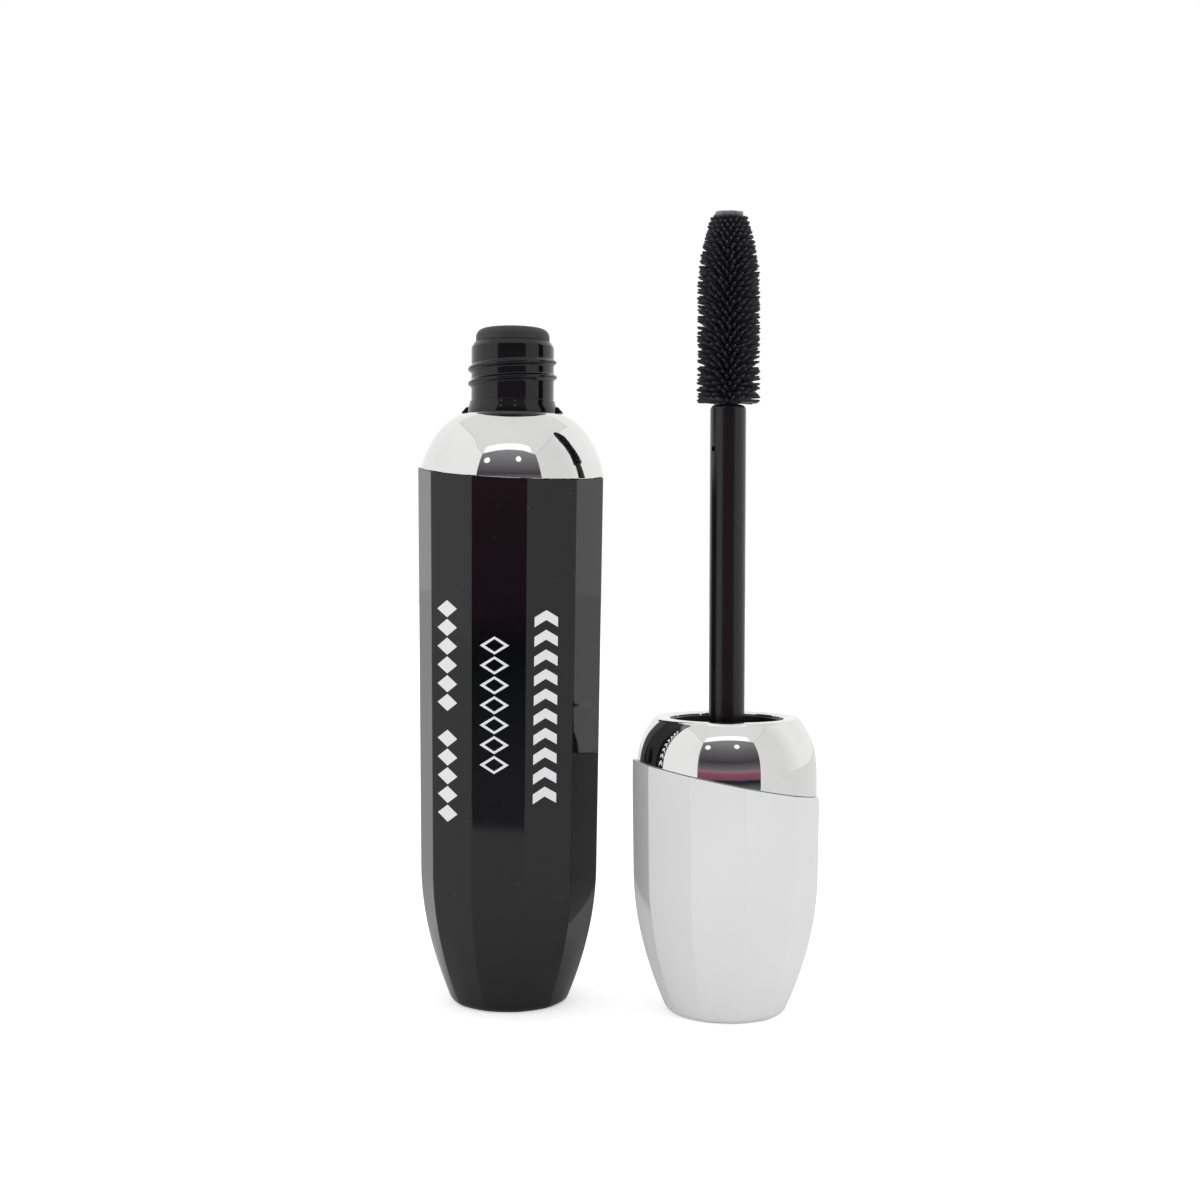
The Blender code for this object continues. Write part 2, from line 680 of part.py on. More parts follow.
def make_bristles(material, parent):
    """The bristle sleeve round the core, as the plain form of its outer reach."""
    inner = SHANK_RADIUS + CLEARANCE
    low = ROD_TOP + CLEARANCE
    taper_start = WAND_TIP - BRUSH_TAPER_LENGTH
    top = WAND_TIP - CLEARANCE
    taper = [taper_start + (top - taper_start) * step / BRUSH_STEPS for step in range(BRUSH_STEPS + 1)]
    outline = [(inner, low), (inner, top)]
    outline += [(brush_radius(height), height) for height in reversed(taper)]
    outline.append((BRUSH_RADIUS, low + CLEARANCE))
    outline.append((BRUSH_RADIUS - CLEARANCE, low))
    turned("bristles", outline, SMALL_STEPS, material, parent)


def make_tip_plug(material, parent):
    """The plug that closes the core's open end."""
    bottom = WAND_TIP - TIP_PLUG_LENGTH
    outline = [(0.0, WAND_TIP), (TIP_PLUG_RADIUS, WAND_TIP), (TIP_PLUG_RADIUS, bottom), (0.0, bottom)]
    turned("brush_tip_plug", outline, SMALL_STEPS, material, parent)


def build():
    clear_scene()
    shell_black = make_material("shell_black", (0.012, 0.011, 0.013), 0.12)
    chrome = make_material("chrome", (0.86, 0.87, 0.89), 0.06, metallic=1.0)
    cap_white = make_material("cap_white", (0.82, 0.82, 0.83), 0.18)
    vial_black = make_material("vial_black", (0.016, 0.016, 0.018), 0.3)
    wiper_black = make_material("wiper_black", (0.035, 0.035, 0.036), 0.65)
    paste_black = make_material("paste_black", (0.004, 0.004, 0.005), 0.35)
    inner_black = make_material("inner_black", (0.02, 0.02, 0.021), 0.4)
    seal_grey = make_material("seal_grey", (0.55, 0.55, 0.53), 0.6)
    rod_black = make_material("rod_black", (0.014, 0.014, 0.016), 0.32)
    core_black = make_material("core_black", (0.013, 0.012, 0.015), 0.4)
    bristle_black = make_material("bristle_black", (0.011, 0.010, 0.014), 0.45)
    plug_grey = make_material("plug_grey", (0.32, 0.32, 0.33), 0.45)

    bottle_axis = make_axis("bottle_axis", (0.0, 0.0, 0.0))
    make_outer_shell(shell_black, bottle_axis)
    make_shoulder_ring(chrome, bottle_axis)
    make_inner_vial(vial_black, bottle_axis)
    make_wiper(wiper_black, bottle_axis)
    make_fill(paste_black, bottle_axis)

    cap_axis = make_axis("cap_axis", CAP_POSITION)
    make_cap_shell(cap_white, cap_axis)
    make_cap_collar(chrome, cap_axis)
    make_inner_cap(inner_black, cap_axis)
    make_seal_liner(seal_grey, cap_axis)
    make_rod(rod_black, cap_axis)
    make_brush_core(core_black, cap_axis)
    make_bristles(bristle_black, cap_axis)
    make_tip_plug(plug_grey, cap_axis)


build()
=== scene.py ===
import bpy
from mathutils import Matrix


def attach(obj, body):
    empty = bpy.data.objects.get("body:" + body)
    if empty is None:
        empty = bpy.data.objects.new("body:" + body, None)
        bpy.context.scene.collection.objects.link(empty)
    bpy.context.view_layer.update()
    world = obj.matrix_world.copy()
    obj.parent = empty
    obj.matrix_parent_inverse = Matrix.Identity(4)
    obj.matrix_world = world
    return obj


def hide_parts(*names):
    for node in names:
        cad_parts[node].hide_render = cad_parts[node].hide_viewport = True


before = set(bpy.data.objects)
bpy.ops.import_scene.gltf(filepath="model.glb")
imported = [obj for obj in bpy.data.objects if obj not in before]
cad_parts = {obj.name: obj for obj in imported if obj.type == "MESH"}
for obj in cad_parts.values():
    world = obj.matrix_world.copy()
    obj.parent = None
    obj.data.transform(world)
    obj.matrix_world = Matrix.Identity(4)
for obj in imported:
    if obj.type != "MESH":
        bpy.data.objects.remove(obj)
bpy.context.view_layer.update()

import math
import random

import bmesh
import bpy
from mathutils import Matrix, Vector

# An opened mascara tube: the faceted black bottle with its threaded neck, and beside it the
# white cap standing on its closed end with the wand and brush rising out of its mouth.
# Lengths are in millimetres until a mesh is made, and angles are in degrees.

mm = 0.001
facetCount = 11
halfFacet = math.pi / facetCount


# Shared form tools

# Places of ring points across a facet, in half facets from its middle: close together by the edges.
facetPlaces = (-1.0, -0.985, -0.962, -0.93, -0.7, -0.35, 0.0, 0.35, 0.7, 0.93, 0.962, 0.985)
tiltPasses = 5  # rounds that settle a point onto the tilted parting line


def pick(values, names):
    return [values[name] for name in names.split()]


def smoothStep(low, high, value):
    share = min(1.0, max(0.0, (value - low) / (high - low)))
    return share * share * (3 - 2 * share)


def facetAngles(cornerAngle):
    first = math.radians(cornerAngle) + halfFacet
    return [
        first + halfFacet * (2 * facet + place) for facet in range(facetCount) for place in facetPlaces
    ]


def facetReach(form, angle, height, inset):
    # distance from the axis to the side wall, whose vertical edges are rounded by a small fillet
    corner = form["radius"](height) - inset
    across = (angle - math.radians(form["cornerAngle"])) % (2 * halfFacet) - halfFacet
    inner = corner * math.cos(halfFacet)
    fillet = form["edgeRounding"]
    reach = inner / math.cos(across)
    away = halfFacet - abs(across)
    if away < halfFacet - math.atan2((inner - fillet) * math.tan(halfFacet), inner):
        centre = (inner - fillet) / math.cos(halfFacet)
        reach = centre * math.cos(away) + math.sqrt(max(0.0, fillet**2 - (centre * math.sin(away)) ** 2))
    return reach + (corner - reach) * form["roundness"](height)


def roundPoint(radius, angle, height):
    return Vector((radius * math.cos(angle), radius * math.sin(angle), height))


def sidePoint(form, angle, height, inset=0.0):
    return roundPoint(facetReach(form, angle, height, inset), angle, height)


def directions(angle):
    # straight out from the axis, and level across that
    return roundPoint(1.0, angle, 0.0), roundPoint(1.0, angle + math.pi / 2, 0.0)


def levelRing(form, height, inset=0.0):
    return [sidePoint(form, angle, height, inset) for angle in facetAngles(form["cornerAngle"])]


def circleRing(form, radius, height):
    return [roundPoint(radius, angle, height) for angle in facetAngles(form["cornerAngle"])]


def tiltedRing(form, split, lift=0.0, inset=0.0, level=None, share=0.0):
    # a ring along the tilted parting line, or part of the way from there to a level height
    ring = []
    for angle in facetAngles(form["cornerAngle"]):
        height = split["height"]
        for _ in range(tiltPasses):
            place = sidePoint(form, angle, height, inset)
            height = split["height"] + split["slope"][0] * place.x + split["slope"][1] * place.y
        height += lift
        if level is not None:
            height += share * (level - height)
        ring.append(sidePoint(form, angle, height, inset))
    return ring


def addObject(name, form):
    # a mesh object of the form's faces, linked to the scene
    mesh = bpy.data.meshes.new(name)
    form.to_mesh(mesh)
    form.free()
    thing = bpy.data.objects.new(name, mesh)
    bpy.context.scene.collection.objects.link(thing)
    return thing


def makePiece(name, form, material, body, nodes=(), place=(0.0, 0.0), sharpAngle=30):
    # turns a bmesh in millimetres into a finished piece that rides on its body
    bmesh.ops.recalc_face_normals(form, faces=form.faces)
    bmesh.ops.scale(form, vec=(mm, mm, mm), verts=form.verts)
    bmesh.ops.translate(form, vec=(place[0] * mm, place[1] * mm, 0.0), verts=form.verts)
    piece = addObject(name, form)
    mesh = piece.data
    mesh.shade_smooth()
    mesh.set_sharp_from_angle(angle=math.radians(sharpAngle))
    mesh.materials.append(material)
    weighted = piece.modifiers.new("evenShading", "WEIGHTED_NORMAL")
    weighted.keep_sharp = True
    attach(piece, body)
    if nodes:
        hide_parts(*nodes)
    print(f"made {name}: {len(mesh.polygons)} faces")
    return piece


def joinLoops(form, first, second):
    for index in range(len(first)):
        after = (index + 1) % len(first)
        form.faces.new((first[index], first[after], second[after], second[index]))


def skin(rings, hollow=False):
    # faces between rings of equal count, closed by a fan at each end or round to the first ring
    form = bmesh.new()
    loops = [[form.verts.new(point) for point in ring] for ring in rings]
    pairs = list(zip(loops, loops[1:]))
    if hollow:
        pairs.append((loops[-1], loops[0]))
    else:
        for loop in (loops[0], loops[-1]):
            middle = form.verts.new(sum((vert.co for vert in loop), Vector()) / len(loop))
            for index in range(len(loop)):
                form.faces.new((loop[index], loop[(index + 1) % len(loop)], middle))
    for lower, upper in pairs:
        joinLoops(form, lower, upper)
    return form


def turn(outline, columns=96):
    # a round form from (radius, height) points
    form = bmesh.new()
    loops = []
    for radius, height in outline:
        if radius <= 0:
            loops.append([form.verts.new((0.0, 0.0, height))])
            continue
        angles = [math.tau * column / columns for column in range(columns)]
        loops.append([form.verts.new(roundPoint(radius, angle, height)) for angle in angles])
    pairs = list(zip(loops, loops[1:]))
    # an outline that starts and ends off the axis closes on itself
    if len(loops[0]) > 1 and len(loops[-1]) > 1:
        pairs.append((loops[-1], loops[0]))
    for first, second in pairs:
        if len(first) == len(second):
            joinLoops(form, first, second)
            continue
        for index in range(columns):
            after = (index + 1) % columns
            if len(first) == 1:
                form.faces.new((first[0], second[after], second[index]))
            else:
                form.faces.new((first[index], first[after], second[0]))
    return form


def bend(centre, radius, fromAngle, toAngle, steps=6):
    # outline points round a small bend; angles in degrees up from straight outward
    points = []
    for step in range(steps + 1):
        angle = math.radians(fromAngle + (toAngle - fromAngle) * step / steps)
        points.append((centre[0] + radius * math.cos(angle), centre[1] + radius * math.sin(angle)))
    return points


def straight(start, end, steps):
    # the outline points between two places, without the places themselves
    return [
        (start[0] + (end[0] - start[0]) * step / steps, start[1] + (end[1] - start[1]) * step / steps)
        for step in range(1, steps)
    ]


def closeSweep(form, sections):
    # faces along a swept solid, from loops of equal count, with a face on each end
    for first, second in zip(sections, sections[1:]):
        joinLoops(form, first, second)
    form.faces.new(sections[0])
    form.faces.new(sections[-1])


def bakeModifiers(piece):
    # the piece's mesh becomes what its modifiers make of it
    graph = bpy.context.evaluated_depsgraph_get()
    baked = bpy.data.meshes.new_from_object(piece.evaluated_get(graph))
    piece.modifiers.clear()
    piece.data = baked


# Materials

# Each finish: colour, least roughness, what smudges add to it, refraction, grain size, bump strength, dust
finishes = {
    "shellBlack": ((0.0035, 0.0035, 0.0042), 0.035, 0.05, 1.47, 900, 0.004, 0.5),
    "neckBlack": ((0.0045, 0.0045, 0.0052), 0.07, 0.08, 1.47, 1500, 0.01, 0.15),
    "wiperBlack": ((0.034, 0.034, 0.035), 0.46, 0.12, 1.44, 5200, 0.12, 0.0),
    "rodBlack": ((0.006, 0.006, 0.0068), 0.2, 0.1, 1.48, 2600, 0.03, 0.1),
    "coreBlack": ((0.006, 0.006, 0.008), 0.35, 0.1, 1.46, 3000, 0.05, 0.0),
    "bristleBlack": ((0.031, 0.029, 0.038), 0.4, 0.14, 1.47, 4200, 0.1, 0.0),
    "innerBlack": ((0.01, 0.01, 0.011), 0.34, 0.12, 1.46, 2200, 0.05, 0.0),
    "pasteBlack": ((0.0025, 0.0025, 0.003), 0.24, 0.2, 1.45, 700, 0.5, 0.0),
    "capWhite": ((0.82, 0.82, 0.822), 0.1, 0.06, 1.49, 1100, 0.006, 0.0),
    "sealGrey": ((0.45, 0.45, 0.43), 0.6, 0.1, 1.42, 3600, 0.25, 0.0),
    "plugGrey": ((0.16, 0.16, 0.165), 0.42, 0.1, 1.46, 3200, 0.1, 0.0),
    "printWhite": ((0.86, 0.86, 0.875), 0.42, 0.1, 1.45, 6000, 0.05, 0.0),
}


def addNoise(tree, coordinate, scale, detail):
    texture = tree.nodes.new("ShaderNodeTexNoise")
    texture.inputs["Scale"].default_value = scale
    texture.inputs["Detail"].default_value = detail
    tree.links.new(coordinate, texture.inputs["Vector"])
    return texture.outputs["Fac"]


def remap(tree, source, fromLow, fromHigh, toLow, toHigh):
    node = tree.nodes.new("ShaderNodeMapRange")
    tree.links.new(source, node.inputs["Value"])
    limits = {"From Min": fromLow, "From Max": fromHigh, "To Min": toLow, "To Max": toHigh}
    for socket, value in limits.items():
        node.inputs[socket].default_value = value
    return node.outputs["Result"]


def mix(tree, share, first, second):
    # each end is a fixed colour or another node's output
    node = tree.nodes.new("ShaderNodeMix")
    node.data_type = "RGBA"
    tree.links.new(share, node.inputs["Factor"])
    for socket, value in (("A", first), ("B", second)):
        if isinstance(value, tuple):
            node.inputs[socket].default_value = (*value, 1.0)
        else:
            tree.links.new(value, node.inputs[socket])
    return node.outputs["Result"]


def calculate(tree, operation, first, second=None):
    node = tree.nodes.new("ShaderNodeMath")
    node.operation = operation
    for socket, value in zip(node.inputs, (first, second)):
        if value is None:
            continue
        if isinstance(value, (int, float)):
            socket.default_value = value
        else:
            tree.links.new(value, socket)
    return node.outputs[0]


def band(tree, value, low, high, soft):
    # one between low and high, falling to nothing over the soft width outside them
    rising = remap(tree, value, low - soft, low, 0.0, 1.0)
    falling = remap(tree, value, high, high + soft, 1.0, 0.0)
    return calculate(tree, "MULTIPLY", rising, falling)


def startMaterial(name):
    material = bpy.data.materials.new(name)
    material.use_nodes = True
    tree = material.node_tree
    return material, tree, tree.nodes["Principled BSDF"]


def addBump(tree, shader, height, strength, distance):
    bump = tree.nodes.new("ShaderNodeBump")
    bump.inputs["Strength"].default_value = strength
    bump.inputs["Distance"].default_value = distance
    tree.links.new(height, bump.inputs["Height"])
    tree.links.new(bump.outputs["Normal"], shader.inputs["Normal"])


moulding = dict(
    smudgeScale=120, smudgeLow=0.35, smudgeHigh=0.75, driftScale=60, driftLow=0.3, driftHigh=0.7,
    dustScale=2600, dustLow=0.795, dustHigh=0.83, dustColour=(0.30, 0.30, 0.31), bumpDistance=0.0002,
)


def makeMoulded(name):
    # moulded plastic: soft smudges in the gloss, a fine skin texture, a slight tone drift or dust specks
    colour, roughness, smudge, refraction, grainScale, strength, dust = finishes[name]
    material, tree, shader = startMaterial(name)
    shader.inputs["IOR"].default_value = refraction
    coordinate = tree.nodes.new("ShaderNodeTexCoord").outputs["Object"]
    smudges = addNoise(tree, coordinate, moulding["smudgeScale"], 4.0)
    gloss = remap(tree, smudges, *pick(moulding, "smudgeLow smudgeHigh"), roughness, roughness + smudge)
    tree.links.new(gloss, shader.inputs["Roughness"])
    if dust:
        grains = addNoise(tree, coordinate, moulding["dustScale"], 1.0)
        specks = remap(tree, grains, *pick(moulding, "dustLow dustHigh"), 0.0, dust)
        tone = mix(tree, specks, colour, moulding["dustColour"])
    else:
        drift = addNoise(tree, coordinate, moulding["driftScale"], 2.0)
        share = remap(tree, drift, *pick(moulding, "driftLow driftHigh"), 0.0, 1.0)
        lighter = tuple(min(1.0, part * 1.05 + 0.0006) for part in colour)
        tone = mix(tree, share, colour, lighter)
    tree.links.new(tone, shader.inputs["Base Color"])
    grain = addNoise(tree, coordinate, grainScale, 3.0)
    addBump(tree, shader, grain, strength, moulding["bumpDistance"])
    return material


plating = dict(
    colour=(0.82, 0.82, 0.815), dullShare=0.94, dullLow=0.4, dullHigh=0.75, roughness=0.018,
    smudge=0.05, smudgeScale=150, smudgeLow=0.45, smudgeHigh=0.8,
    waves=260, waveStrength=0.012, waveDistance=0.0004,
)


def makeChrome(name):
    # bright plated plastic: nearly a mirror, with faint waves in the plating and wiped smudges
    material, tree, shader = startMaterial(name)
    shader.inputs["Metallic"].default_value = 1.0
    coordinate = tree.nodes.new("ShaderNodeTexCoord").outputs["Object"]
    smudges = addNoise(tree, coordinate, plating["smudgeScale"], 5.0)
    smudgeLow, smudgeHigh, roughness, smudge = pick(plating, "smudgeLow smudgeHigh roughness smudge")
    gloss = remap(tree, smudges, smudgeLow, smudgeHigh, roughness, roughness + smudge)
    tree.links.new(gloss, shader.inputs["Roughness"])
    duller = tuple(part * plating["dullShare"] for part in plating["colour"])
    share = remap(tree, smudges, *pick(plating, "dullLow dullHigh"), 0.0, 1.0)
    tree.links.new(mix(tree, share, plating["colour"], duller), shader.inputs["Base Color"])
    waves = addNoise(tree, coordinate, plating["waves"], 2.0)
    addBump(tree, shader, waves, plating["waveStrength"], plating["waveDistance"])
    return material


# how unevenly a colour turns paler towards the top of a piece
topPaling = dict(grain=1800, unevenLow=0.3, unevenHigh=0.6, leastShare=0.45)


def paleTowardsTop(material, low, high, colour):
    # from the low height to the high one, in millimetres, the colour turns paler, unevenly
    tree = material.node_tree
    shader = tree.nodes["Principled BSDF"]
    before = shader.inputs["Base Color"].links[0].from_socket
    coordinate = tree.nodes.new("ShaderNodeTexCoord").outputs["Object"]
    parts = tree.nodes.new("ShaderNodeSeparateXYZ")
    tree.links.new(coordinate, parts.inputs["Vector"])
    rise = remap(tree, parts.outputs["Z"], low * mm, high * mm, 0.0, 1.0)
    noise = addNoise(tree, coordinate, topPaling["grain"], 3.0)
    uneven = remap(tree, noise, *pick(topPaling, "unevenLow unevenHigh leastShare"), 1.0)
    share = calculate(tree, "MULTIPLY", rise, uneven)
    tree.links.new(mix(tree, share, before, colour), shader.inputs["Base Color"])


materials = {name: makeMoulded(name) for name in finishes}
materials["chrome"] = makeChrome("chrome")
print("materials ready")


# Bottle

bottle = dict(
    lowRadius=12.92, topRadius=13.62, endDrop=4.6, endLength=20.0, endPower=1.94,
    edge=0.8, endRound=0.75, endFade=12.0, wall=1.2, floor=1.5, topHeight=75.3, mostShare=2.0,
    cornerAngle=-78.5, edgeRounding=0.55, rimBevel=0.14, split=dict(height=76.6, slope=(-0.0444, 0.1185)),
)


def shellReach(form, height):
    # the widest reach: drawn in below endLength, then a straight taper that mostShare can stop
    if height < form["endLength"]:
        share = 1 - max(0.0, height) / form["endLength"]
        return form["lowRadius"] - form["endDrop"] * share ** form["endPower"]
    share = (height - form["endLength"]) / (form["topHeight"] - form["endLength"])
    share = min(form["mostShare"], share)
    return form["lowRadius"] + share * (form["topRadius"] - form["lowRadius"])


def fadingFacets(form):
    # the facets melt into a rounder section near the closed end
    return lambda height: form["endRound"] * max(0.0, 1 - height / form["endFade"])


bottle["radius"] = lambda height: shellReach(bottle, height)
bottle["roundness"] = fadingFacets(bottle)


# The underside of a faceted cup: heights of its rings, and how far in from the widest reach they lie
footRings = ((0.22, 5.4), (0.22, 2.4), (0.12, 2.2), (0.0, 2.0))
# How many rings there are round its foot, up its closed end, up its side wall and down its inside
shellSteps = dict(foot=6, end=26, side=10, inside=4, insideGap=4.0, innerCorner=0.8, rimEdge=0.1)


def makeShell(name, form, material, body, nodes, place=(0.0, 0.0)):
    # a faceted cup: recessed underside, rounded foot, side wall, crisp tilted rim and the wall's inside
    split, edge, rim, wall, endLength = pick(form, "split edge rimBevel wall endLength")
    rimEdge = shellSteps["rimEdge"]
    rings = [levelRing(form, height, inset) for height, inset in footRings]
    rings.append(levelRing(form, 0.0, edge + 0.05))
    for step in range(shellSteps["foot"] + 1):
        angle = math.pi / 2 * step / shellSteps["foot"]
        rings.append(levelRing(form, edge * (1 - math.cos(angle)), edge * (1 - math.sin(angle))))
    for step in range(1, shellSteps["end"] + 1):
        rings.append(levelRing(form, edge + (endLength - edge) * step / shellSteps["end"]))
    for step in range(1, shellSteps["side"]):
        rings.append(tiltedRing(form, split, 0.0, 0.0, endLength, 1 - step / shellSteps["side"]))
    rings += [tiltedRing(form, split, -2 * rim), tiltedRing(form, split, -rim)]
    rings += [tiltedRing(form, split, -0.3 * rim, 0.3 * rim), tiltedRing(form, split, 0.0, rim)]
    rings += [tiltedRing(form, split, 0.0, wall - rimEdge), tiltedRing(form, split, -rimEdge, wall)]
    for step in range(shellSteps["inside"]):
        rings.append(levelRing(form, endLength - shellSteps["insideGap"] * step, wall))
    rings.append(levelRing(form, form["floor"] + 0.6, wall))
    rings.append(levelRing(form, form["floor"], wall + shellSteps["innerCorner"]))
    makePiece(name, skin(rings), material, body, nodes, place)


makeShell("bottleShell", bottle, materials["shellBlack"], "bottle", ("outer_shell",))

# Shoulder: the bright round dome between the shell and the neck

shoulder = dict(
    base=13.45, hole=6.75, start=75.3, height=9.6, rise=1.6, fall=0.58, wall=1.2,
    seam=0.06, edge=0.08, holeEdge=0.12, skirtInset=1.5, skirtWall=1.0, skirtEnd=72.1,
    steps=48, insideSteps=(36, 28, 20, 12),
    cornerAngle=-78.5, edgeRounding=0.55, split=bottle["split"],
)


def shoulderRadius(height):
    share = min(1.0, max(0.0, (height - shoulder["start"]) / shoulder["height"]))
    fall = (1 - share ** shoulder["rise"]) ** shoulder["fall"]
    return shoulder["hole"] + (shoulder["base"] - shoulder["hole"]) * fall


shoulder["radius"] = shoulderRadius
shoulder["roundness"] = lambda height: 1.0


def loweredPoint(point, wall):
    # moved in from the dome's surface, towards the axis and down
    scale = 1 - wall / math.hypot(point.x, point.y)
    return Vector((point.x * scale, point.y * scale, point.z - wall))


def makeShoulder():
    split, hole, holeEdge, wall, seam, edge = pick(shoulder, "split hole holeEdge wall seam edge")
    top = shoulder["start"] + shoulder["height"]
    outerSkirt = shoulder["skirtInset"]
    innerSkirt = outerSkirt + shoulder["skirtWall"]
    rings = [tiltedRing(shoulder, split, seam, edge), tiltedRing(shoulder, split, seam + edge)]
    for step in range(1, shoulder["steps"]):
        share = math.sin(math.pi / 2 * step / shoulder["steps"])
        rings.append(tiltedRing(shoulder, split, seam + edge, 0.0, top, share))
    rings.append(circleRing(shoulder, hole + holeEdge, top - 0.1 * holeEdge))
    rings.append(circleRing(shoulder, hole, top - holeEdge))
    rings.append(circleRing(shoulder, hole, top - wall))
    for step in shoulder["insideSteps"]:
        share = math.sin(math.pi / 2 * step / shoulder["steps"])
        ring = tiltedRing(shoulder, split, seam, 0.0, top, share)
        rings.append([loweredPoint(point, wall) for point in ring])
    rings.append(levelRing(bottle, shoulder["skirtEnd"], innerSkirt))
    rings.append(levelRing(bottle, shoulder["skirtEnd"], outerSkirt))
    rings.append(tiltedRing(bottle, split, seam, outerSkirt))
    makePiece(
        "shoulderDome", skin(rings, hollow=True), materials["chrome"], "bottle", ("shoulder_ring",)
    )


makeShoulder()

# Neck thread: one right-handed ridge that runs out into the wall at both ends

thread = dict(
    pitch=25.4 / 12, depth=0.49, low=89.13, startAngle=160.0, turn=575.0, runOut=26.0, runIn=2.0,
    sectionGap=3.0, leastWidth=0.4,
)

# The ridge's section: reach past the wall as a share of the depth, and half height at that reach
ridgeSection = (
    (-0.35, 0.66), (0.02, 0.60), (0.14, 0.47), (0.50, 0.31), (0.86, 0.20), (0.98, 0.10), (1.0, 0.0),
)


def addThread(form, wall, depth, low, startAngle, turnAngle):
    # sweeps the ridge's section up the helix; a negative depth makes it stand inward
    profile = [(reach, -half) for reach, half in ridgeSection]
    profile += [(reach, half) for reach, half in reversed(ridgeSection[:-1])]
    steps = round(turnAngle / thread["sectionGap"])
    least = thread["leastWidth"]
    sections = []
    for step in range(steps + 1):
        along = turnAngle * step / steps
        angle = math.radians(startAngle + along)
        fullness = smoothStep(-thread["runIn"], thread["runOut"], min(along, turnAngle - along))
        section = []
        for reach, half in profile:
            radius = wall + depth * (reach * fullness if reach > 0 else reach)
            height = low + thread["pitch"] * along / 360 + half * (least + (1 - least) * fullness)
            section.append(form.verts.new(roundPoint(radius, angle, height)))
        sections.append(section)
    closeSweep(form, sections)


# Vial: foot, flange and threaded neck

vial = dict(
    radius=8.6, wall=1.1, neckRadius=6.0, neckBore=4.7, shoulderTop=84.9, neckTop=95.3,
    footTop=9.0, footFloor=1.8, footRoom=6.4, coneLow=79.35, coneHigh=82.6,
    flangeTop=71.8, flangeBottom=70.8, flangeRadius=11.3,
    topTaper=0.35, topEdge=0.15, topBend=0.5, topFall=0.85,
    footRadius=6.6, footHeight=1.9, footStep=0.2, stepEdge=0.1, stepFall=0.15, flareSteps=10, flarePower=1.3,
    lugReach=7.35, lugTop=85.95, lugFoot=85.0, lugWide=1.5, lugTurn=-3.0, lugSink=0.4, lugEdge=0.1,
)


def addLug(form, angle):
    # a small sloping wedge on the neck's foot, with rounded upper edges
    outer, low, high, edge = pick(vial, "lugReach lugFoot lugTop lugEdge")
    inner, half = vial["footRadius"] - vial["lugSink"], vial["lugWide"] / 2
    # its outline out along the underside, up the blunt end and back up the slope
    profile = [(inner, low), (outer - 0.08, low), (outer, low + 0.08), (outer, low + 0.2)]
    profile += [(outer - 0.22, low + 0.42), (inner + 0.6, high - 0.12), (inner + 0.4, high), (inner, high)]
    outward, across = directions(angle)
    sections = []
    for place, shrink in ((-half, edge), (-half + edge, 0.0), (half - edge, 0.0), (half, edge)):
        section = []
        for reach, height in profile:
            lower = shrink if height > low + 0.1 else 0.0
            inward = shrink if reach > inner + 0.1 else 0.0
            point = outward * (reach - inward) + across * place + Vector((0, 0, height - lower))
            section.append(form.verts.new(point))
        sections.append(section)
    closeSweep(form, sections)


def makeVial():
    neck, bore, top, edge, topBend = pick(vial, "neckRadius neckBore neckTop topEdge topBend")
    radius, wall, foot, room, floor = pick(vial, "radius wall footTop footRoom footFloor")
    step, stepEdge, stepFall, footRadius = pick(vial, "footStep stepEdge stepFall footRadius")
    flange, flangeTop, flangeLow = pick(vial, "flangeRadius flangeTop flangeBottom")
    coneLow, coneHigh = pick(vial, "coneLow coneHigh")
    wallTop, wallLow = top - vial["topFall"], vial["shoulderTop"] + vial["footHeight"]
    # the inside, from the floor up to the mouth
    outline = [(0.0, floor + wall), (room - wall, floor + wall), (radius - wall, foot)]
    outline += [(radius - wall, coneLow - wall), (bore, coneHigh - wall), (bore, top - 0.1)]
    outline.append((bore + 0.1, top))
    # the neck's top edge and its wall
    outline += bend((neck - vial["topTaper"] - edge, top - edge), edge, 90, 30, 3)
    outline += bend((neck - topBend, wallTop), topBend, 35, 0, 5)
    outline += straight((neck, wallTop), (neck, wallLow), 12)
    # the step and the flare at its foot
    outline += [(neck, wallLow + 0.02), (neck + step * 0.3, wallLow - 0.02)]
    outline += bend((neck + step - stepEdge, wallLow - 0.12), stepEdge, 85, 5, 5)
    flare = footRadius - neck - step
    for index in range(1, vial["flareSteps"] + 1):
        share = index / vial["flareSteps"]
        reach = flare * math.sin(share * math.pi / 2) ** vial["flarePower"]
        drop = (vial["footHeight"] - stepFall) * share
        outline.append((neck + step + reach, wallLow - stepFall - drop))
    # the outside below the dome, with the flange and the foot
    outline += [(footRadius, coneHigh), (radius, coneLow), (radius, flangeTop), (flange, flangeTop)]
    outline += [(flange, flangeLow), (radius, flangeLow), (radius, foot), (room, floor), (0.0, floor)]
    form = turn(outline, 144)
    addThread(form, neck, *pick(thread, "depth low startAngle turn"))
    for turnAngle in (vial["lugTurn"], vial["lugTurn"] + 180):
        addLug(form, math.radians(turnAngle))
    makePiece("vialNeck", form, materials["neckBlack"], "bottle", ("inner_vial",))


makeVial()

# Wiper: the soft sleeve in the neck with its rounded lip on top

wiper = dict(
    orifice=3.05, bore=3.7, sleeve=4.4, lip=5.35, lipBottom=95.32, lipTop=97.3, depth=10.72, cone=3.0,
    rounding=1.2, mouthEdge=0.3, orificeEdge=0.15, lipEdge=0.1, coneWall=0.6,
)


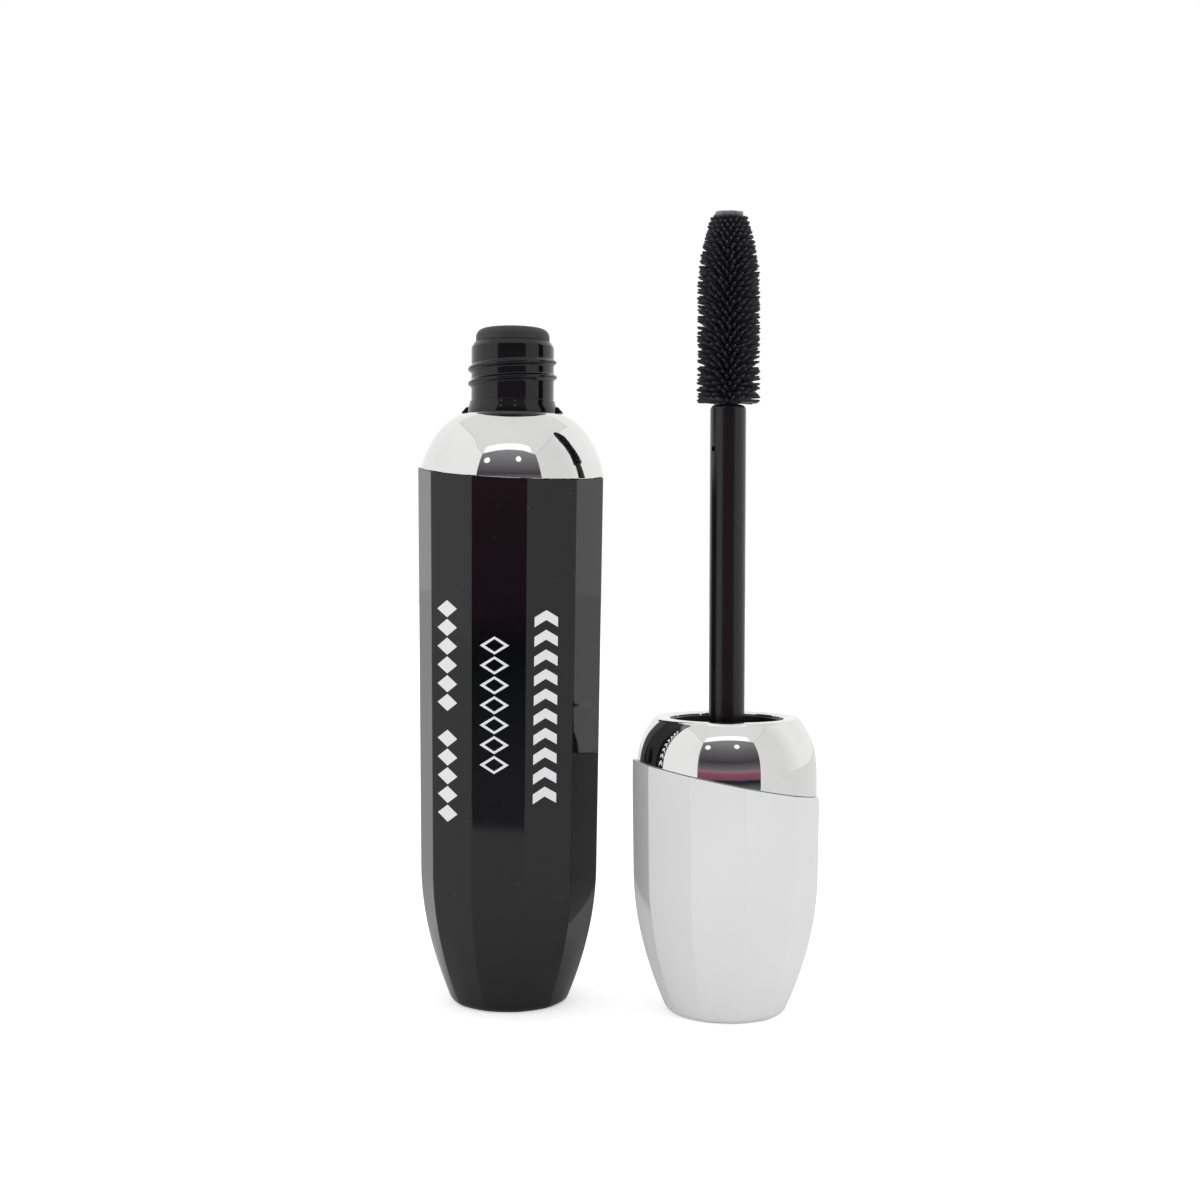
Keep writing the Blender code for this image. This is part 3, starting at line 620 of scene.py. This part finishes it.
def makeWiper():
    bore, lip, lipBottom, lipTop, rounding = pick(wiper, "bore lip lipBottom lipTop rounding")
    mouthEdge, orificeEdge, lipEdge = pick(wiper, "mouthEdge orificeEdge lipEdge")
    low = lipBottom - wiper["depth"]
    coneTop = low + wiper["cone"]
    outline = bend((wiper["orifice"] + orificeEdge, low + orificeEdge), orificeEdge, 270, 180, 4)
    outline += [(bore, coneTop)]
    outline += straight((bore, coneTop), (bore, lipTop - mouthEdge), 5)
    outline += bend((bore + mouthEdge, lipTop - mouthEdge), mouthEdge, 180, 90, 6)
    outline += bend((lip - rounding, lipTop - rounding), rounding, 90, 0, 12)
    outline += bend((lip - lipEdge, lipBottom + lipEdge), lipEdge, 0, -90, 3)
    outline += [(wiper["sleeve"], lipBottom), (wiper["sleeve"], coneTop)]
    outline += [(wiper["orifice"] + wiper["coneWall"], low)]
    makePiece("wiperLip", turn(outline, 96), materials["wiperBlack"], "bottle", ("wiper",))


makeWiper()

# Cap

cap = dict(
    lowRadius=13.18, topRadius=13.38, endDrop=4.9, endLength=20.0, endPower=1.94,
    edge=0.8, endRound=0.75, endFade=12.0, wall=1.3, floor=1.6, topHeight=31.6, mostShare=1.0,
    cornerAngle=-82.5, edgeRounding=0.55, rimBevel=0.12,
    split=dict(height=32.95, slope=(-0.1917, -0.0338)), place=(31.0, -5.1), height=41.6,
)


cap["radius"] = lambda height: shellReach(cap, height)
cap["roundness"] = fadingFacets(cap)
makeShell("capShell", cap, materials["capWhite"], "cap", ("cap_shell",), cap["place"])

# Collar: the bright round ring at the cap's mouth

collar = dict(
    base=12.80, start=31.6, height=10.0, power=3.4, rim=10.15, rimInner=8.65, opening=8.03, mouthDepth=2.2,
    rimWide=0.45, rimTall=0.25, rimSteps=6, sideSteps=40,
    seam=0.06, edge=0.08, skirtInset=1.6, skirtWall=1.3, skirtEnd=28.95, skirtDepth=5.5,
    cornerAngle=-82.5, edgeRounding=0.55, split=cap["split"],
)


def collarRadius(height):
    share = min(1.0, max(0.0, (height - collar["start"]) / collar["height"]))
    return collar["base"] - (collar["base"] - collar["rim"]) * share ** collar["power"]


collar["radius"] = collarRadius
collar["roundness"] = shoulder["roundness"]


def makeCollar():
    opening, rimInner, split, seam, edge = pick(collar, "opening rimInner split seam edge")
    rimWide, rimTall, sideSteps = pick(collar, "rimWide rimTall sideSteps")
    outerSkirt = collar["skirtInset"]
    innerSkirt = outerSkirt + collar["skirtWall"]
    top = cap["height"]
    rings = [tiltedRing(collar, split, seam, edge), tiltedRing(collar, split, seam + edge)]
    levelTop = top - rimTall
    for step in range(1, sideSteps + 1):
        rings.append(tiltedRing(collar, split, seam + edge, 0.0, levelTop, step / sideSteps))
    lipRadius = collarRadius(levelTop)
    for step in range(1, collar["rimSteps"] + 1):
        angle = math.pi / 2 * step / collar["rimSteps"]
        reach = lipRadius - rimWide * (1 - math.cos(angle))
        rings.append(circleRing(collar, reach, levelTop + rimTall * math.sin(angle)))
    # the flat rim dips towards the opening
    for radius, drop in (
        (rimInner + 0.15, 0.0), (rimInner - 0.1, 0.06), (opening + 0.03, 0.18), (opening, 0.3),
        (opening, collar["mouthDepth"]),
    ):
        rings.append(circleRing(collar, radius, top - drop))
    rings.append(levelRing(cap, top - collar["skirtDepth"], innerSkirt))
    rings.append(levelRing(cap, collar["skirtEnd"], innerSkirt))
    rings.append(levelRing(cap, collar["skirtEnd"], outerSkirt))
    rings.append(tiltedRing(cap, split, seam, outerSkirt))
    makePiece(
        "capCollar", skin(rings, hollow=True), materials["chrome"], "cap", ("cap_collar",),
        cap["place"],
    )


makeCollar()

# Inner cap: the threaded cup behind the mouth and the socket that holds the rod

innerCap = dict(
    mouth=41.12, bore=6.88, rebate=7.6, rebateLow=39.8, outer=7.73, mouthOuter=7.95, floor=27.163,
    socketRadius=2.85, socketFloor=13.963, socketWall=1.55, flange=1.2, flangeTop=28.65, flangeRadius=11.1,
    edge=0.08, stepEdge=0.1, floorBend=0.3, outerStepTop=0.8, outerStepLow=1.0,
    ridgeDepth=0.68, ridgeTurn=330.0, ridgeLow=34.64, ridgeStart=156.3,
)


def makeInnerCap():
    bore, floor, mouth, edge, wall = pick(innerCap, "bore floor mouth edge flange")
    socket, socketFloor, outer, mouthOuter = pick(innerCap, "socketRadius socketFloor outer mouthOuter")
    rebate, rebateLow, stepEdge, floorBend = pick(innerCap, "rebate rebateLow stepEdge floorBend")
    flangeTop, flangeRadius = pick(innerCap, "flangeTop flangeRadius")
    socketOuter = socket + innerCap["socketWall"]
    # the inside, from the socket up to the mouth
    outline = [(0.0, socketFloor), (socket, socketFloor)]
    outline += straight((socket, socketFloor), (socket, floor), 4)
    outline += [(socket, floor), (bore - floorBend, floor)]
    outline += bend((bore - floorBend, floor + floorBend), floorBend, 270, 360, 4)
    outline += straight((bore, floor + 0.4), (bore, rebateLow - stepEdge), 10)
    outline += [(bore, rebateLow - stepEdge), (bore + stepEdge, rebateLow), (rebate, rebateLow)]
    outline += [(rebate, mouth - edge), (rebate + edge, mouth), (mouthOuter - edge, mouth)]
    # the outside, down past the flange to the underside of the socket
    outline += [(mouthOuter, mouth - edge), (mouthOuter, rebateLow - innerCap["outerStepTop"])]
    outline += [(outer, rebateLow - innerCap["outerStepLow"]), (outer, flangeTop), (flangeRadius, flangeTop)]
    outline += [(flangeRadius, flangeTop - wall), (outer, flangeTop - wall), (outer, floor - wall)]
    outline += [(socketOuter, floor - wall), (socketOuter, socketFloor - wall), (0.0, socketFloor - wall)]
    form = turn(outline, 120)
    addThread(form, bore, -innerCap["ridgeDepth"], *pick(innerCap, "ridgeLow ridgeStart ridgeTurn"))
    makePiece("innerCup", form, materials["innerBlack"], "cap", ("inner_cap",), cap["place"])


makeInnerCap()

# Seal: the soft washer at the bottom of the inner cup

seal = dict(
    inner=2.85, outer=6.58, bottom=27.463, face=28.463, edge=0.12,
    printInner=4.6, printOuter=5.65, printSlope=0.15, printDepth=0.05,
)


def makeSeal():
    inner, outer, bottom, face, edge = pick(seal, "inner outer bottom face edge")
    pressed, slope = face - seal["printDepth"], seal["printSlope"]
    outline = bend((inner + edge, bottom + edge), edge, 270, 180, 3)
    outline += bend((inner + edge, face - edge), edge, 180, 90, 3)
    # the shallow ring that the neck has pressed into its face
    outline += [(seal["printInner"], face), (seal["printInner"] + slope, pressed)]
    outline += [(seal["printOuter"] - slope, pressed), (seal["printOuter"], face)]
    outline += bend((outer - edge, face - edge), edge, 90, 0, 3)
    outline += bend((outer - edge, bottom + edge), edge, 0, -90, 3)
    makePiece(
        "sealWasher", turn(outline, 96), materials["sealGrey"], "seal", ("seal_liner",),
        cap["place"],
    )


makeSeal()

# Rod: the hollow stem with its rounded top and the small side window

rod = dict(
    radius=2.55, bore=1.8, root=16.65, rootSolid=8.5, rootEdge=0.2, top=85.963, topRounding=0.72,
    windowRadius=0.42, windowBelowTop=6.3, windowAngle=-150.0,
    windowSides=24, windowDepth=2.0, windowSink=0.4,
)


def makeCutter():
    # a short pin that lies across the rod's wall, where the window is
    form = bmesh.new()
    bmesh.ops.create_cone(
        form, cap_ends=True, segments=rod["windowSides"], radius1=rod["windowRadius"],
        radius2=rod["windowRadius"], depth=rod["windowDepth"],
    )
    turned = Matrix.Rotation(math.radians(rod["windowAngle"]), 4, "Z")
    moved = Matrix.Translation((rod["radius"] - rod["windowSink"], 0, 0))
    laid = Matrix.Rotation(math.pi / 2, 4, "Y")
    bmesh.ops.transform(form, matrix=turned @ moved @ laid, verts=form.verts)
    height = rod["top"] - rod["windowBelowTop"]
    bmesh.ops.translate(form, vec=(*cap["place"], height), verts=form.verts)
    bmesh.ops.scale(form, vec=(mm, mm, mm), verts=form.verts)
    return addObject("windowCutter", form)


def makeRod():
    radius, top, bore, rounding, root, edge = pick(rod, "radius top bore topRounding root rootEdge")
    boreEnd = root + rod["rootSolid"]
    outline = [(0.0, boreEnd), (bore, boreEnd), (bore, top)]
    outline += bend((radius - rounding, top - rounding), rounding, 90, 0, 8)
    outline += straight((radius, top - rounding), (radius, root), 30)
    outline += [(radius, root + edge), (radius - edge, root), (0.0, root)]
    piece = makePiece(
        "wandRod", turn(outline, 96), materials["rodBlack"], "wand", ("rod",), cap["place"]
    )
    cutter = makeCutter()
    cut = piece.modifiers.new("window", "BOOLEAN")
    cut.operation = "DIFFERENCE"
    cut.solver = "EXACT"
    cut.object = cutter
    piece.modifiers.move(1, 0)
    bakeModifiers(piece)
    bpy.data.objects.remove(cutter)


makeRod()

# Brush: a moulded core with close rows of tapered bristles that lean towards the tip

brush = dict(
    low=86.26, top=113.26, radius=4.64, taperLength=12.0, taperPower=1.9, tipRadius=2.35,
    coreRadius=1.5, coreBore=1.1, sleeve=2.0, sleeveWall=0.2, shankEnd=74.963, shankEdge=0.2, tip=113.563,
    crownRadius=2.0, crownDip=0.27, crownEdge=0.15, crownDepth=0.27,
    rows=37, perRow=22, firstRow=0.30, spareLength=1.2, sides=5, seed=7,
)

bristle = dict(
    rootHalf=0.38, rootSink=0.15, lean=12.0, leanFrom=6.0, leanWander=6.0, sideWander=0.07,
    shortest=0.93, depthShare=1.15, angleWander=0.02, heightWander=0.08,
    # its width at each share of its length
    taper=((0.0, 1.0), (0.3, 0.82), (0.65, 0.60), (0.92, 0.42)),
)

# Where the tips of the brush turn pale, measured down from their ends
bristlePaleTips = dict(low=0.7, high=0.1, colour=(0.26, 0.26, 0.27))
crownPaleTop = dict(low=0.6, high=0.3, colour=(0.62, 0.62, 0.63))


def brushReach(height):
    share = max(0.0, (height - (brush["tip"] - brush["taperLength"])) / brush["taperLength"])
    return brush["radius"] - (brush["radius"] - brush["tipRadius"]) * share ** brush["taperPower"]


def addBristle(form, angle, height, wander):
    rise = smoothStep(0.0, bristle["leanFrom"], height - brush["low"])
    lean = math.radians(bristle["lean"] * rise + bristle["leanWander"] * wander.uniform(-1, 1))
    outward, across = directions(angle)
    root = outward * (brush["sleeve"] - bristle["rootSink"]) + Vector((0, 0, height))
    direction = outward * math.cos(lean) + Vector((0, 0, math.sin(lean)))
    direction += across * bristle["sideWander"] * wander.uniform(-1, 1)
    reach = (brushReach(height) - brush["sleeve"] + bristle["rootSink"]) / math.cos(lean)
    reach *= wander.uniform(bristle["shortest"], 1.0)
    upward = direction.cross(across).normalized()
    loops = []
    for share, width in bristle["taper"]:
        half = bristle["rootHalf"] * width
        middle = root + direction * reach * share
        loop = []
        for side in range(brush["sides"]):
            around = math.tau * side / brush["sides"]
            offset = across * math.cos(around) * half
            offset += upward * math.sin(around) * half * bristle["depthShare"]
            loop.append(form.verts.new(middle + offset))
        loops.append(loop)
    point = form.verts.new(root + direction * reach)
    for lower, upper in zip(loops, loops[1:]):
        joinLoops(form, lower, upper)
    for side in range(brush["sides"]):
        form.faces.new((loops[-1][side], loops[-1][(side + 1) % brush["sides"]], point))
    form.faces.new(list(reversed(loops[0])))


def makeBristles():
    low, top, sleeve, perRow = pick(brush, "low top sleeve perRow")
    wander = random.Random(brush["seed"])
    inner = sleeve - brush["sleeveWall"]
    form = turn([(inner, low), (inner, top), (sleeve, top), (sleeve, low)], 48)
    rowGap = (top - low - brush["spareLength"]) / (brush["rows"] - 1)
    for row in range(brush["rows"]):
        height = low + brush["firstRow"] + rowGap * row
        for place in range(perRow):
            angle = math.tau * (place + 0.5 * (row % 2)) / perRow
            angle += wander.uniform(-bristle["angleWander"], bristle["angleWander"])
            apart = wander.uniform(-bristle["heightWander"], bristle["heightWander"])
            addBristle(form, angle, height + apart, wander)
    for vert in form.verts:
        vert.co.z = min(max(vert.co.z, low), top)
    material = materials["bristleBlack"]
    # the bristles turn paler towards their tips
    paleTowardsTop(material, top - bristlePaleTips["low"], top - bristlePaleTips["high"], bristlePaleTips["colour"])
    makePiece("brushBristles", form, material, "wand", ("bristles",), cap["place"], 60)


makeBristles()


def makeCore():
    # the core's open end is a crown with two nubs, its colour paler towards the top
    tip, crown, edge, depth = pick(brush, "tip crownRadius crownEdge crownDepth")
    core, bore, shankEdge, shankEnd = pick(brush, "coreRadius coreBore shankEdge shankEnd")
    outline = [(bore, shankEnd), (bore, tip - 0.1), (bore + 0.1, tip)]
    outline += bend((crown - edge, tip - edge), edge, 90, 0, 3)
    outline += [(crown, tip - depth), (core, tip - depth - 0.01)]
    outline += [(core, shankEnd + shankEdge), (core - shankEdge, shankEnd)]
    form = turn(outline, 48)
    for vert in form.verts:
        if vert.co.z > tip - 0.2:
            around = math.atan2(vert.co.y, vert.co.x)
            dip = 0.5 - 0.5 * math.cos(2 * around - 0.5) + 0.25 * math.cos(around + 2.6)
            vert.co.z -= brush["crownDip"] * min(1.0, max(0.0, dip))
    material = materials["coreBlack"].copy()
    material.name = "paleTopCore"
    # the crown turns paler towards its top
    paleTowardsTop(material, tip - crownPaleTop["low"], tip - crownPaleTop["high"], crownPaleTop["colour"])
    makePiece("brushCore", form, material, "wand", ("brush_core",), cap["place"])


makeCore()

plug = dict(radius=0.8, length=2.6, edge=0.12, dimple=0.35, dimpleEdge=0.42, dimpleDepth=0.1)


def makePlug():
    top, edge, reach = brush["tip"], plug["edge"], plug["radius"] - plug["edge"]
    low, dimpleFloor = top - plug["length"], top - plug["dimpleDepth"]
    outline = [(0.0, dimpleFloor), (plug["dimple"], dimpleFloor), (plug["dimpleEdge"], top)]
    outline += bend((reach, top - edge), edge, 90, 0, 4)
    outline += bend((reach, low + edge), edge, 0, -90, 4)
    outline += [(0.0, low)]
    makePiece(
        "tipPlug", turn(outline, 40), materials["plugGrey"], "tip", ("brush_tip_plug",),
        cap["place"],
    )


makePlug()

# Fill: the paste that clings to the vial's wall keeps its CAD shape
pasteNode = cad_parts["mascara_fill"]
pasteNode.data.materials.clear()
pasteNode.data.materials.append(materials["pasteBlack"])

# Print: three upright columns of plain ornament on the bottle's front facets

printing = dict(
    lift=0.015, sink=0.03, chevronShare=0.58, lineWidth=0.36, lineSlant=1.9,
    left=dict(facet=-1, aside=-0.8, low=27.1, step=2.62, across=3.7, along=2.4, kind="lozenge",
              count=11, gapAfter=5, gap=2.4),
    centre=dict(facet=0, aside=-0.55, low=34.2, step=2.75, across=4.1, along=2.5, kind="outline",
                count=7, gapAfter=0, gap=0.0),
    right=dict(facet=1, aside=-0.6, low=30.0, step=2.72, across=3.6, along=2.35, kind="chevron",
               count=10, gapAfter=0, gap=0.0),
)


def facetPoint(facet, aside, height, lift):
    # a place on one flat facet: aside runs along the facet, and facet counts from the front one
    angle = math.radians(bottle["cornerAngle"]) - halfFacet + 2 * halfFacet * facet
    outward, across = directions(angle)
    away = shellReach(bottle, height) * math.cos(halfFacet) + lift
    return outward * away + across * aside + Vector((0, 0, height))


def addStamp(form, facet, outline):
    # a thin raised flat shape from its (aside, height) corners
    upper = [form.verts.new(facetPoint(facet, aside, height, printing["lift"])) for aside, height in outline]
    lower = [form.verts.new(facetPoint(facet, aside, height, -printing["sink"])) for aside, height in outline]
    form.faces.new(upper)
    form.faces.new(list(reversed(lower)))
    for index in range(len(outline)):
        after = (index + 1) % len(outline)
        form.faces.new((upper[index], lower[index], lower[after], upper[after]))


def stampShapes(kind, middle, height, across, along):
    halfWide, halfLong = across / 2, along / 2
    if kind == "lozenge":
        return [[(middle, height - halfLong), (middle + halfWide, height), (middle, height + halfLong),
                 (middle - halfWide, height)]]
    if kind == "chevron":
        thick = along * printing["chevronShare"]
        return [[(middle - halfWide, height - halfLong), (middle, height + halfLong - thick),
                 (middle + halfWide, height - halfLong), (middle + halfWide, height - halfLong + thick),
                 (middle, height + halfLong), (middle - halfWide, height - halfLong + thick)]]
    thin = printing["lineWidth"]
    innerWide, innerLong = halfWide - thin * printing["lineSlant"], halfLong - thin
    shapes = []
    for side in (-1, 1):
        for way in (-1, 1):
            outer = [(middle, height + way * halfLong), (middle + side * halfWide, height)]
            inner = [(middle + side * innerWide, height), (middle, height + way * innerLong)]
            shapes.append(outer + inner if side * way > 0 else list(reversed(outer + inner)))
    return shapes


def makePrint(name, column):
    form = bmesh.new()
    height = column["low"] + column["along"] / 2
    for index in range(column["count"]):
        across, along = pick(column, "across along")
        for outline in stampShapes(column["kind"], column["aside"], height, across, along):
            addStamp(form, column["facet"], outline)
        height += column["step"]
        if index + 1 == column["gapAfter"]:
            height += column["gap"]
    makePiece(name, form, materials["printWhite"], "bottle", sharpAngle=20)


for columnName in ("left", "centre", "right"):
    makePrint(columnName + "Ornament", printing[columnName])

print("object pieces ready")


# Studio: white floor, white tent with a dark front opening, and the camera

floorStage = dict(
    front=-0.150, side=1.5, back=2.0, roughness=0.9,
    # its looks straight from the camera, and as other surfaces see it
    colour=(0.88, 0.88, 0.88), glow=0.50, seenColour=(0.80, 0.80, 0.80), seenGlow=0.06,
)


def makeFloor():
    side, front, back = pick(floorStage, "side front back")
    form = bmesh.new()
    corners = ((-side, front), (side, front), (side, back), (-side, back))
    form.faces.new([form.verts.new((x, y, 0.0)) for x, y in corners])
    floor = addObject("floor", form)
    material, tree, shader = startMaterial("floorWhite")
    direct = tree.nodes.new("ShaderNodeLightPath").outputs["Is Camera Ray"]
    colour = mix(tree, direct, floorStage["seenColour"], floorStage["colour"])
    glow = remap(tree, direct, 0.0, 1.0, floorStage["seenGlow"], floorStage["glow"])
    tree.links.new(colour, shader.inputs["Base Color"])
    tree.links.new(glow, shader.inputs["Emission Strength"])
    shader.inputs["Roughness"].default_value = floorStage["roughness"]
    shader.inputs["Emission Color"].default_value = (1.0, 1.0, 1.0, 1.0)
    floor.data.materials.append(material)


makeFloor()


tent = dict(
    wall=0.97, rightWall=0.80, rightFrom=44, rightTo=75, rightSoft=30, ceiling=0.84, fillLight=0.93,
    crease=0.55, creaseShare=0.5, creaseHalf=0.006, creaseSoft=0.012,
    openingWide=0.839, openingHigh=1.10, openingEdge=0.015,
    strip=1.6, stripEdge=0.03, stripLow=0.74, stripHigh=0.80, stripLeft=-36, stripRight=32, stripSoft=4,
    lamp=1.5, lampCore=7.0, lampEdge=16.0, lampPlaces=((-31, 33), (10, 36)),
    # what shows through the opening: degrees above the horizon and the colour there
    viewLow=-30, viewHigh=60, view=(
        (-14.0, (0.10, 0.10, 0.11)), (-9.5, (0.24, 0.24, 0.28)), (-5.0, (0.02, 0.03, 0.03)),
        (-4.0, (0.02, 0.02, 0.03)), (-3.2, (0.20, 0.07, 0.12)), (0.0, (0.23, 0.09, 0.13)),
        (2.4, (0.36, 0.16, 0.18)), (4.2, (0.16, 0.14, 0.17)), (12.0, (0.06, 0.055, 0.06)),
        (28.0, (0.15, 0.145, 0.15)), (46.0, (0.27, 0.27, 0.28)),
    ),
)


def showView(tree, rise):
    # the colours seen through the opening, by height
    low, span = tent["viewLow"], tent["viewHigh"] - tent["viewLow"]
    ramp = tree.nodes.new("ShaderNodeValToRGB")
    tree.links.new(remap(tree, rise, low, low + span, 0.0, 1.0), ramp.inputs["Fac"])
    elements = ramp.color_ramp.elements
    while len(elements) < len(tent["view"]):
        elements.new(0.5)
    for element, (height, colour) in zip(elements, tent["view"]):
        element.position = (height - low) / span
        element.color = (*colour, 1.0)
    return ramp.outputs["Color"]


def addLamps(tree, side, rise, light):
    # a small round lamp at each place, over the light so far
    for lampSide, lampRise in tent["lampPlaces"]:
        across = calculate(tree, "SUBTRACT", side, lampSide)
        up = calculate(tree, "SUBTRACT", rise, lampRise)
        apart = calculate(
            tree, "ADD", calculate(tree, "MULTIPLY", across, across), calculate(tree, "MULTIPLY", up, up)
        )
        share = remap(tree, apart, *pick(tent, "lampCore lampEdge"), 1.0, 0.0)
        light = mix(tree, share, light, (tent["lamp"],) * 3)
    return light


def makeTent():
    # a box of pale walls round the object: a direction meets whichever side its largest part points to
    world = bpy.data.worlds.new("tent")
    bpy.context.scene.world = world
    world.use_nodes = True
    tree = world.node_tree
    tree.nodes.clear()
    direction = tree.nodes.new("ShaderNodeTexCoord").outputs["Generated"]
    parts = tree.nodes.new("ShaderNodeSeparateXYZ")
    tree.links.new(direction, parts.inputs["Vector"])
    toSide, toBack, toTop = (parts.outputs[key] for key in "XYZ")
    toFront = calculate(tree, "MULTIPLY", toBack, -1.0)
    side = calculate(tree, "MULTIPLY", calculate(tree, "ARCTAN2", toSide, toFront), math.degrees(1))
    rise = calculate(tree, "MULTIPLY", calculate(tree, "ARCSINE", toTop), math.degrees(1))
    aside = calculate(tree, "DIVIDE", calculate(tree, "ABSOLUTE", toSide), tent["openingWide"])
    above = calculate(tree, "DIVIDE", toTop, tent["openingHigh"])
    away = calculate(tree, "ABSOLUTE", toBack)
    overhead = calculate(tree, "SUBTRACT", above, calculate(tree, "MAXIMUM", aside, away))
    inFront = calculate(tree, "SUBTRACT", toFront, calculate(tree, "MAXIMUM", aside, above))
    # walls, ceiling and the crease between them
    rightShare = band(tree, side, *pick(tent, "rightFrom rightTo rightSoft"))
    light = mix(tree, rightShare, (tent["wall"],) * 3, (tent["rightWall"],) * 3)
    light = mix(tree, remap(tree, overhead, -0.01, 0.02, 0.0, 1.0), light, (tent["ceiling"],) * 3)
    crease = band(tree, overhead, -tent["creaseHalf"], tent["creaseHalf"], tent["creaseSoft"])
    creaseShare = calculate(tree, "MULTIPLY", crease, tent["creaseShare"])
    light = mix(tree, creaseShare, light, (tent["crease"],) * 3)
    # the dark opening in front, the bright strip above it and the lamps
    opening = remap(tree, inFront, 0.0, tent["openingEdge"], 0.0, 1.0)
    light = mix(tree, opening, light, showView(tree, rise))
    nearFront = calculate(tree, "DIVIDE", toFront, above)
    overStrip = remap(tree, overhead, 0.0, tent["stripEdge"], 0.0, 1.0)
    alongStrip = remap(tree, nearFront, *pick(tent, "stripLow stripHigh"), 0.0, 1.0)
    strip = calculate(tree, "MULTIPLY", overStrip, alongStrip)
    acrossStrip = band(tree, side, *pick(tent, "stripLeft stripRight stripSoft"))
    light = mix(tree, calculate(tree, "MULTIPLY", strip, acrossStrip), light, (tent["strip"],) * 3)
    light = addLamps(tree, side, rise, light)
    # soft surfaces take an even light, and the backdrop is white
    rays = tree.nodes.new("ShaderNodeLightPath")
    light = mix(tree, rays.outputs["Is Diffuse Ray"], light, (tent["fillLight"],) * 3)
    light = mix(tree, rays.outputs["Is Camera Ray"], light, (1.0, 1.0, 1.0))
    background = tree.nodes.new("ShaderNodeBackground")
    tree.links.new(light, background.inputs["Color"])
    output = tree.nodes.new("ShaderNodeOutputWorld")
    tree.links.new(background.outputs["Background"], output.inputs["Surface"])


makeTent()


shot = dict(place=(0.01285, -0.239, 0.0638), lens=49.26, sensor=36.0, shift=-0.0333, roll=-0.3, nearest=0.005)


def makeCamera():
    data = bpy.data.cameras.new("camera")
    data.lens = shot["lens"]
    data.sensor_width = shot["sensor"]
    data.shift_y = shot["shift"]
    data.clip_start = shot["nearest"]
    camera = bpy.data.objects.new("camera", data)
    camera.location = shot["place"]
    camera.rotation_euler = (math.pi / 2, math.radians(shot["roll"]), 0.0)
    bpy.context.scene.collection.objects.link(camera)
    bpy.context.scene.camera = camera


makeCamera()
bpy.context.scene.view_settings.view_transform = "Standard"
print("studio ready")
